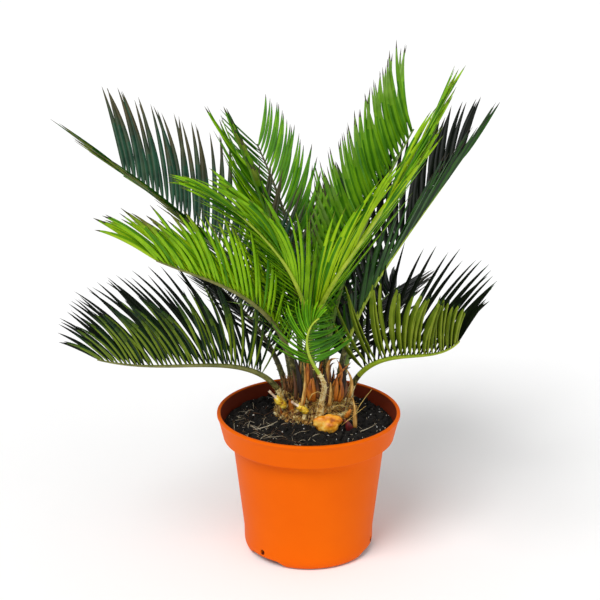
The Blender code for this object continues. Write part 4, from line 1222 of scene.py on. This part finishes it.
# Cut leaf bases: a ragged yellow wedge that narrows to a pale cut end
stubShape = dict(width=0.0072, thick=0.0046, ragged=0.34, raggedEnd=0.12, cutAt=0.6)
stubOutline = (    # shares of the length, and of the width there
    (0, 0.1, 0.3, 0.5, 0.56, 0.62, 0.86, 0.93, 1.0),
    (0.7, 0.9, 1.0, 0.96, 0.8, 0.36, 0.3, 0.42, 0.34))
stubs = {
    "leaf_stub_left": dict(foot=(-0.0165, -0.0022, 0.1065), azimuth=190, rise=48, length=0.0172),
    "leaf_stub_front": dict(foot=(-0.0012, -0.0100, 0.1060), azimuth=192, rise=38, length=0.0140),
}


def makeStub(node, foot, azimuth, rise, length):
    turn, lean = radians(azimuth), radians(rise)
    along = np.array([cos(lean) * cos(turn), cos(lean) * sin(turn), sin(lean)])
    side = np.array([-sin(turn), cos(turn), 0.0])
    up = -np.cross(along, side)
    sides, rings = 32, 32
    vertices = []
    for ring in range(rings + 1):
        share = ring / rings
        wide = float(np.interp(share, *stubOutline))
        ragged = stubShape["ragged" if share < 0.58 else "raggedEnd"]
        for k in range(sides):
            angle = 2 * pi * k / sides
            rough = 1 + ragged * bumpy(cos(angle), sin(angle), share * 6 + azimuth, 0.55, 3)
            square = max(abs(cos(angle)), abs(sin(angle))) ** -0.35
            middle = np.array(foot) + along * length * (share + (0.02 if share else 0) * cos(3 * angle))
            vertices.append(middle + side * cos(angle) * square * rough * stubShape["width"] * wide / 2
                            + up * sin(angle) * square * rough * stubShape["thick"] * wide / 2)
    faces = [list(range(sides))[::-1], list(range(rings * sides, (rings + 1) * sides))]
    for ring in range(rings):
        faces += bandFaces(ring * sides, (ring + 1) * sides, sides)
    piece = meshPiece(node + "_cut", vertices, faces, finishes["cutYellow"])
    piece.data.materials.append(finishes["cutPale"])
    for face in piece.data.polygons:
        reach = (np.array(face.center) - np.array(foot)) @ along / length
        face.material_index = 1 if reach > stubShape["cutAt"] else 0
    return finishPiece(piece, node, node)


makeBulb()
for node, place in stubs.items():
    makeStub(node, **place)
print("bulb and stubs made")


# Floor, light and camera
bpy.ops.mesh.primitive_plane_add(size=16.0, location=(0.0, 0.0, -0.0005))
floor = bpy.context.object
floor.name = "studioFloor"
floorTones = ((0.3, 249, 249, 249), (0.7, 252, 252, 252))
floor.data.materials.append(makeFinish("floorPale", floorTones, 2.0, (0.8, 0.9)))
floor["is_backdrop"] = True

worldLight = 0.56
world = bpy.data.worlds.new("studioAir")
world.use_nodes = True
world.node_tree.nodes["Background"].inputs["Color"].default_value = (1.0, 1.0, 1.0, 1.0)
world.node_tree.nodes["Background"].inputs["Strength"].default_value = worldLight
bpy.context.scene.world = world

suns = {    # power, spread in degrees, and the way each one shines
    "softSun": (2.0, 32, (0.42, 0.66, -1.0)),
    "softFill": (0.55, 60, (-0.8, 0.7, -0.3)),
}
for name, (power, spread, way) in suns.items():
    sun = bpy.data.lights.new(name, "SUN")
    sun.energy = power
    sun.angle = radians(spread)
    holder = bpy.data.objects.new(name, sun)
    holder.rotation_euler = Vector(way).to_track_quat("-Z", "Y").to_euler()
    bpy.context.scene.collection.objects.link(holder)

view = dict(elevation=18.67, lookAt=(-0.0061, 0.0, 0.1855), distance=1.150, lens=99.54, sensor=36.0)
camera = bpy.data.objects.new("studioCamera", bpy.data.cameras.new("studioCamera"))
bpy.context.scene.collection.objects.link(camera)
rise = radians(view["elevation"])
lookAt = Vector(view["lookAt"])
camera.location = lookAt + Vector((0.0, -cos(rise), sin(rise))) * view["distance"]
camera.rotation_euler = (lookAt - camera.location).to_track_quat("-Z", "Y").to_euler()
camera.data.lens = view["lens"]
camera.data.sensor_width = view["sensor"]
bpy.context.scene.camera = camera
bpy.context.scene.view_settings.view_transform = "Standard"
print("studio set")

total = 0
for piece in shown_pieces():
    piece.data.calc_loop_triangles()
    total += len(piece.data.loop_triangles)
    print(piece.name, len(piece.data.loop_triangles))
print("triangles", total)
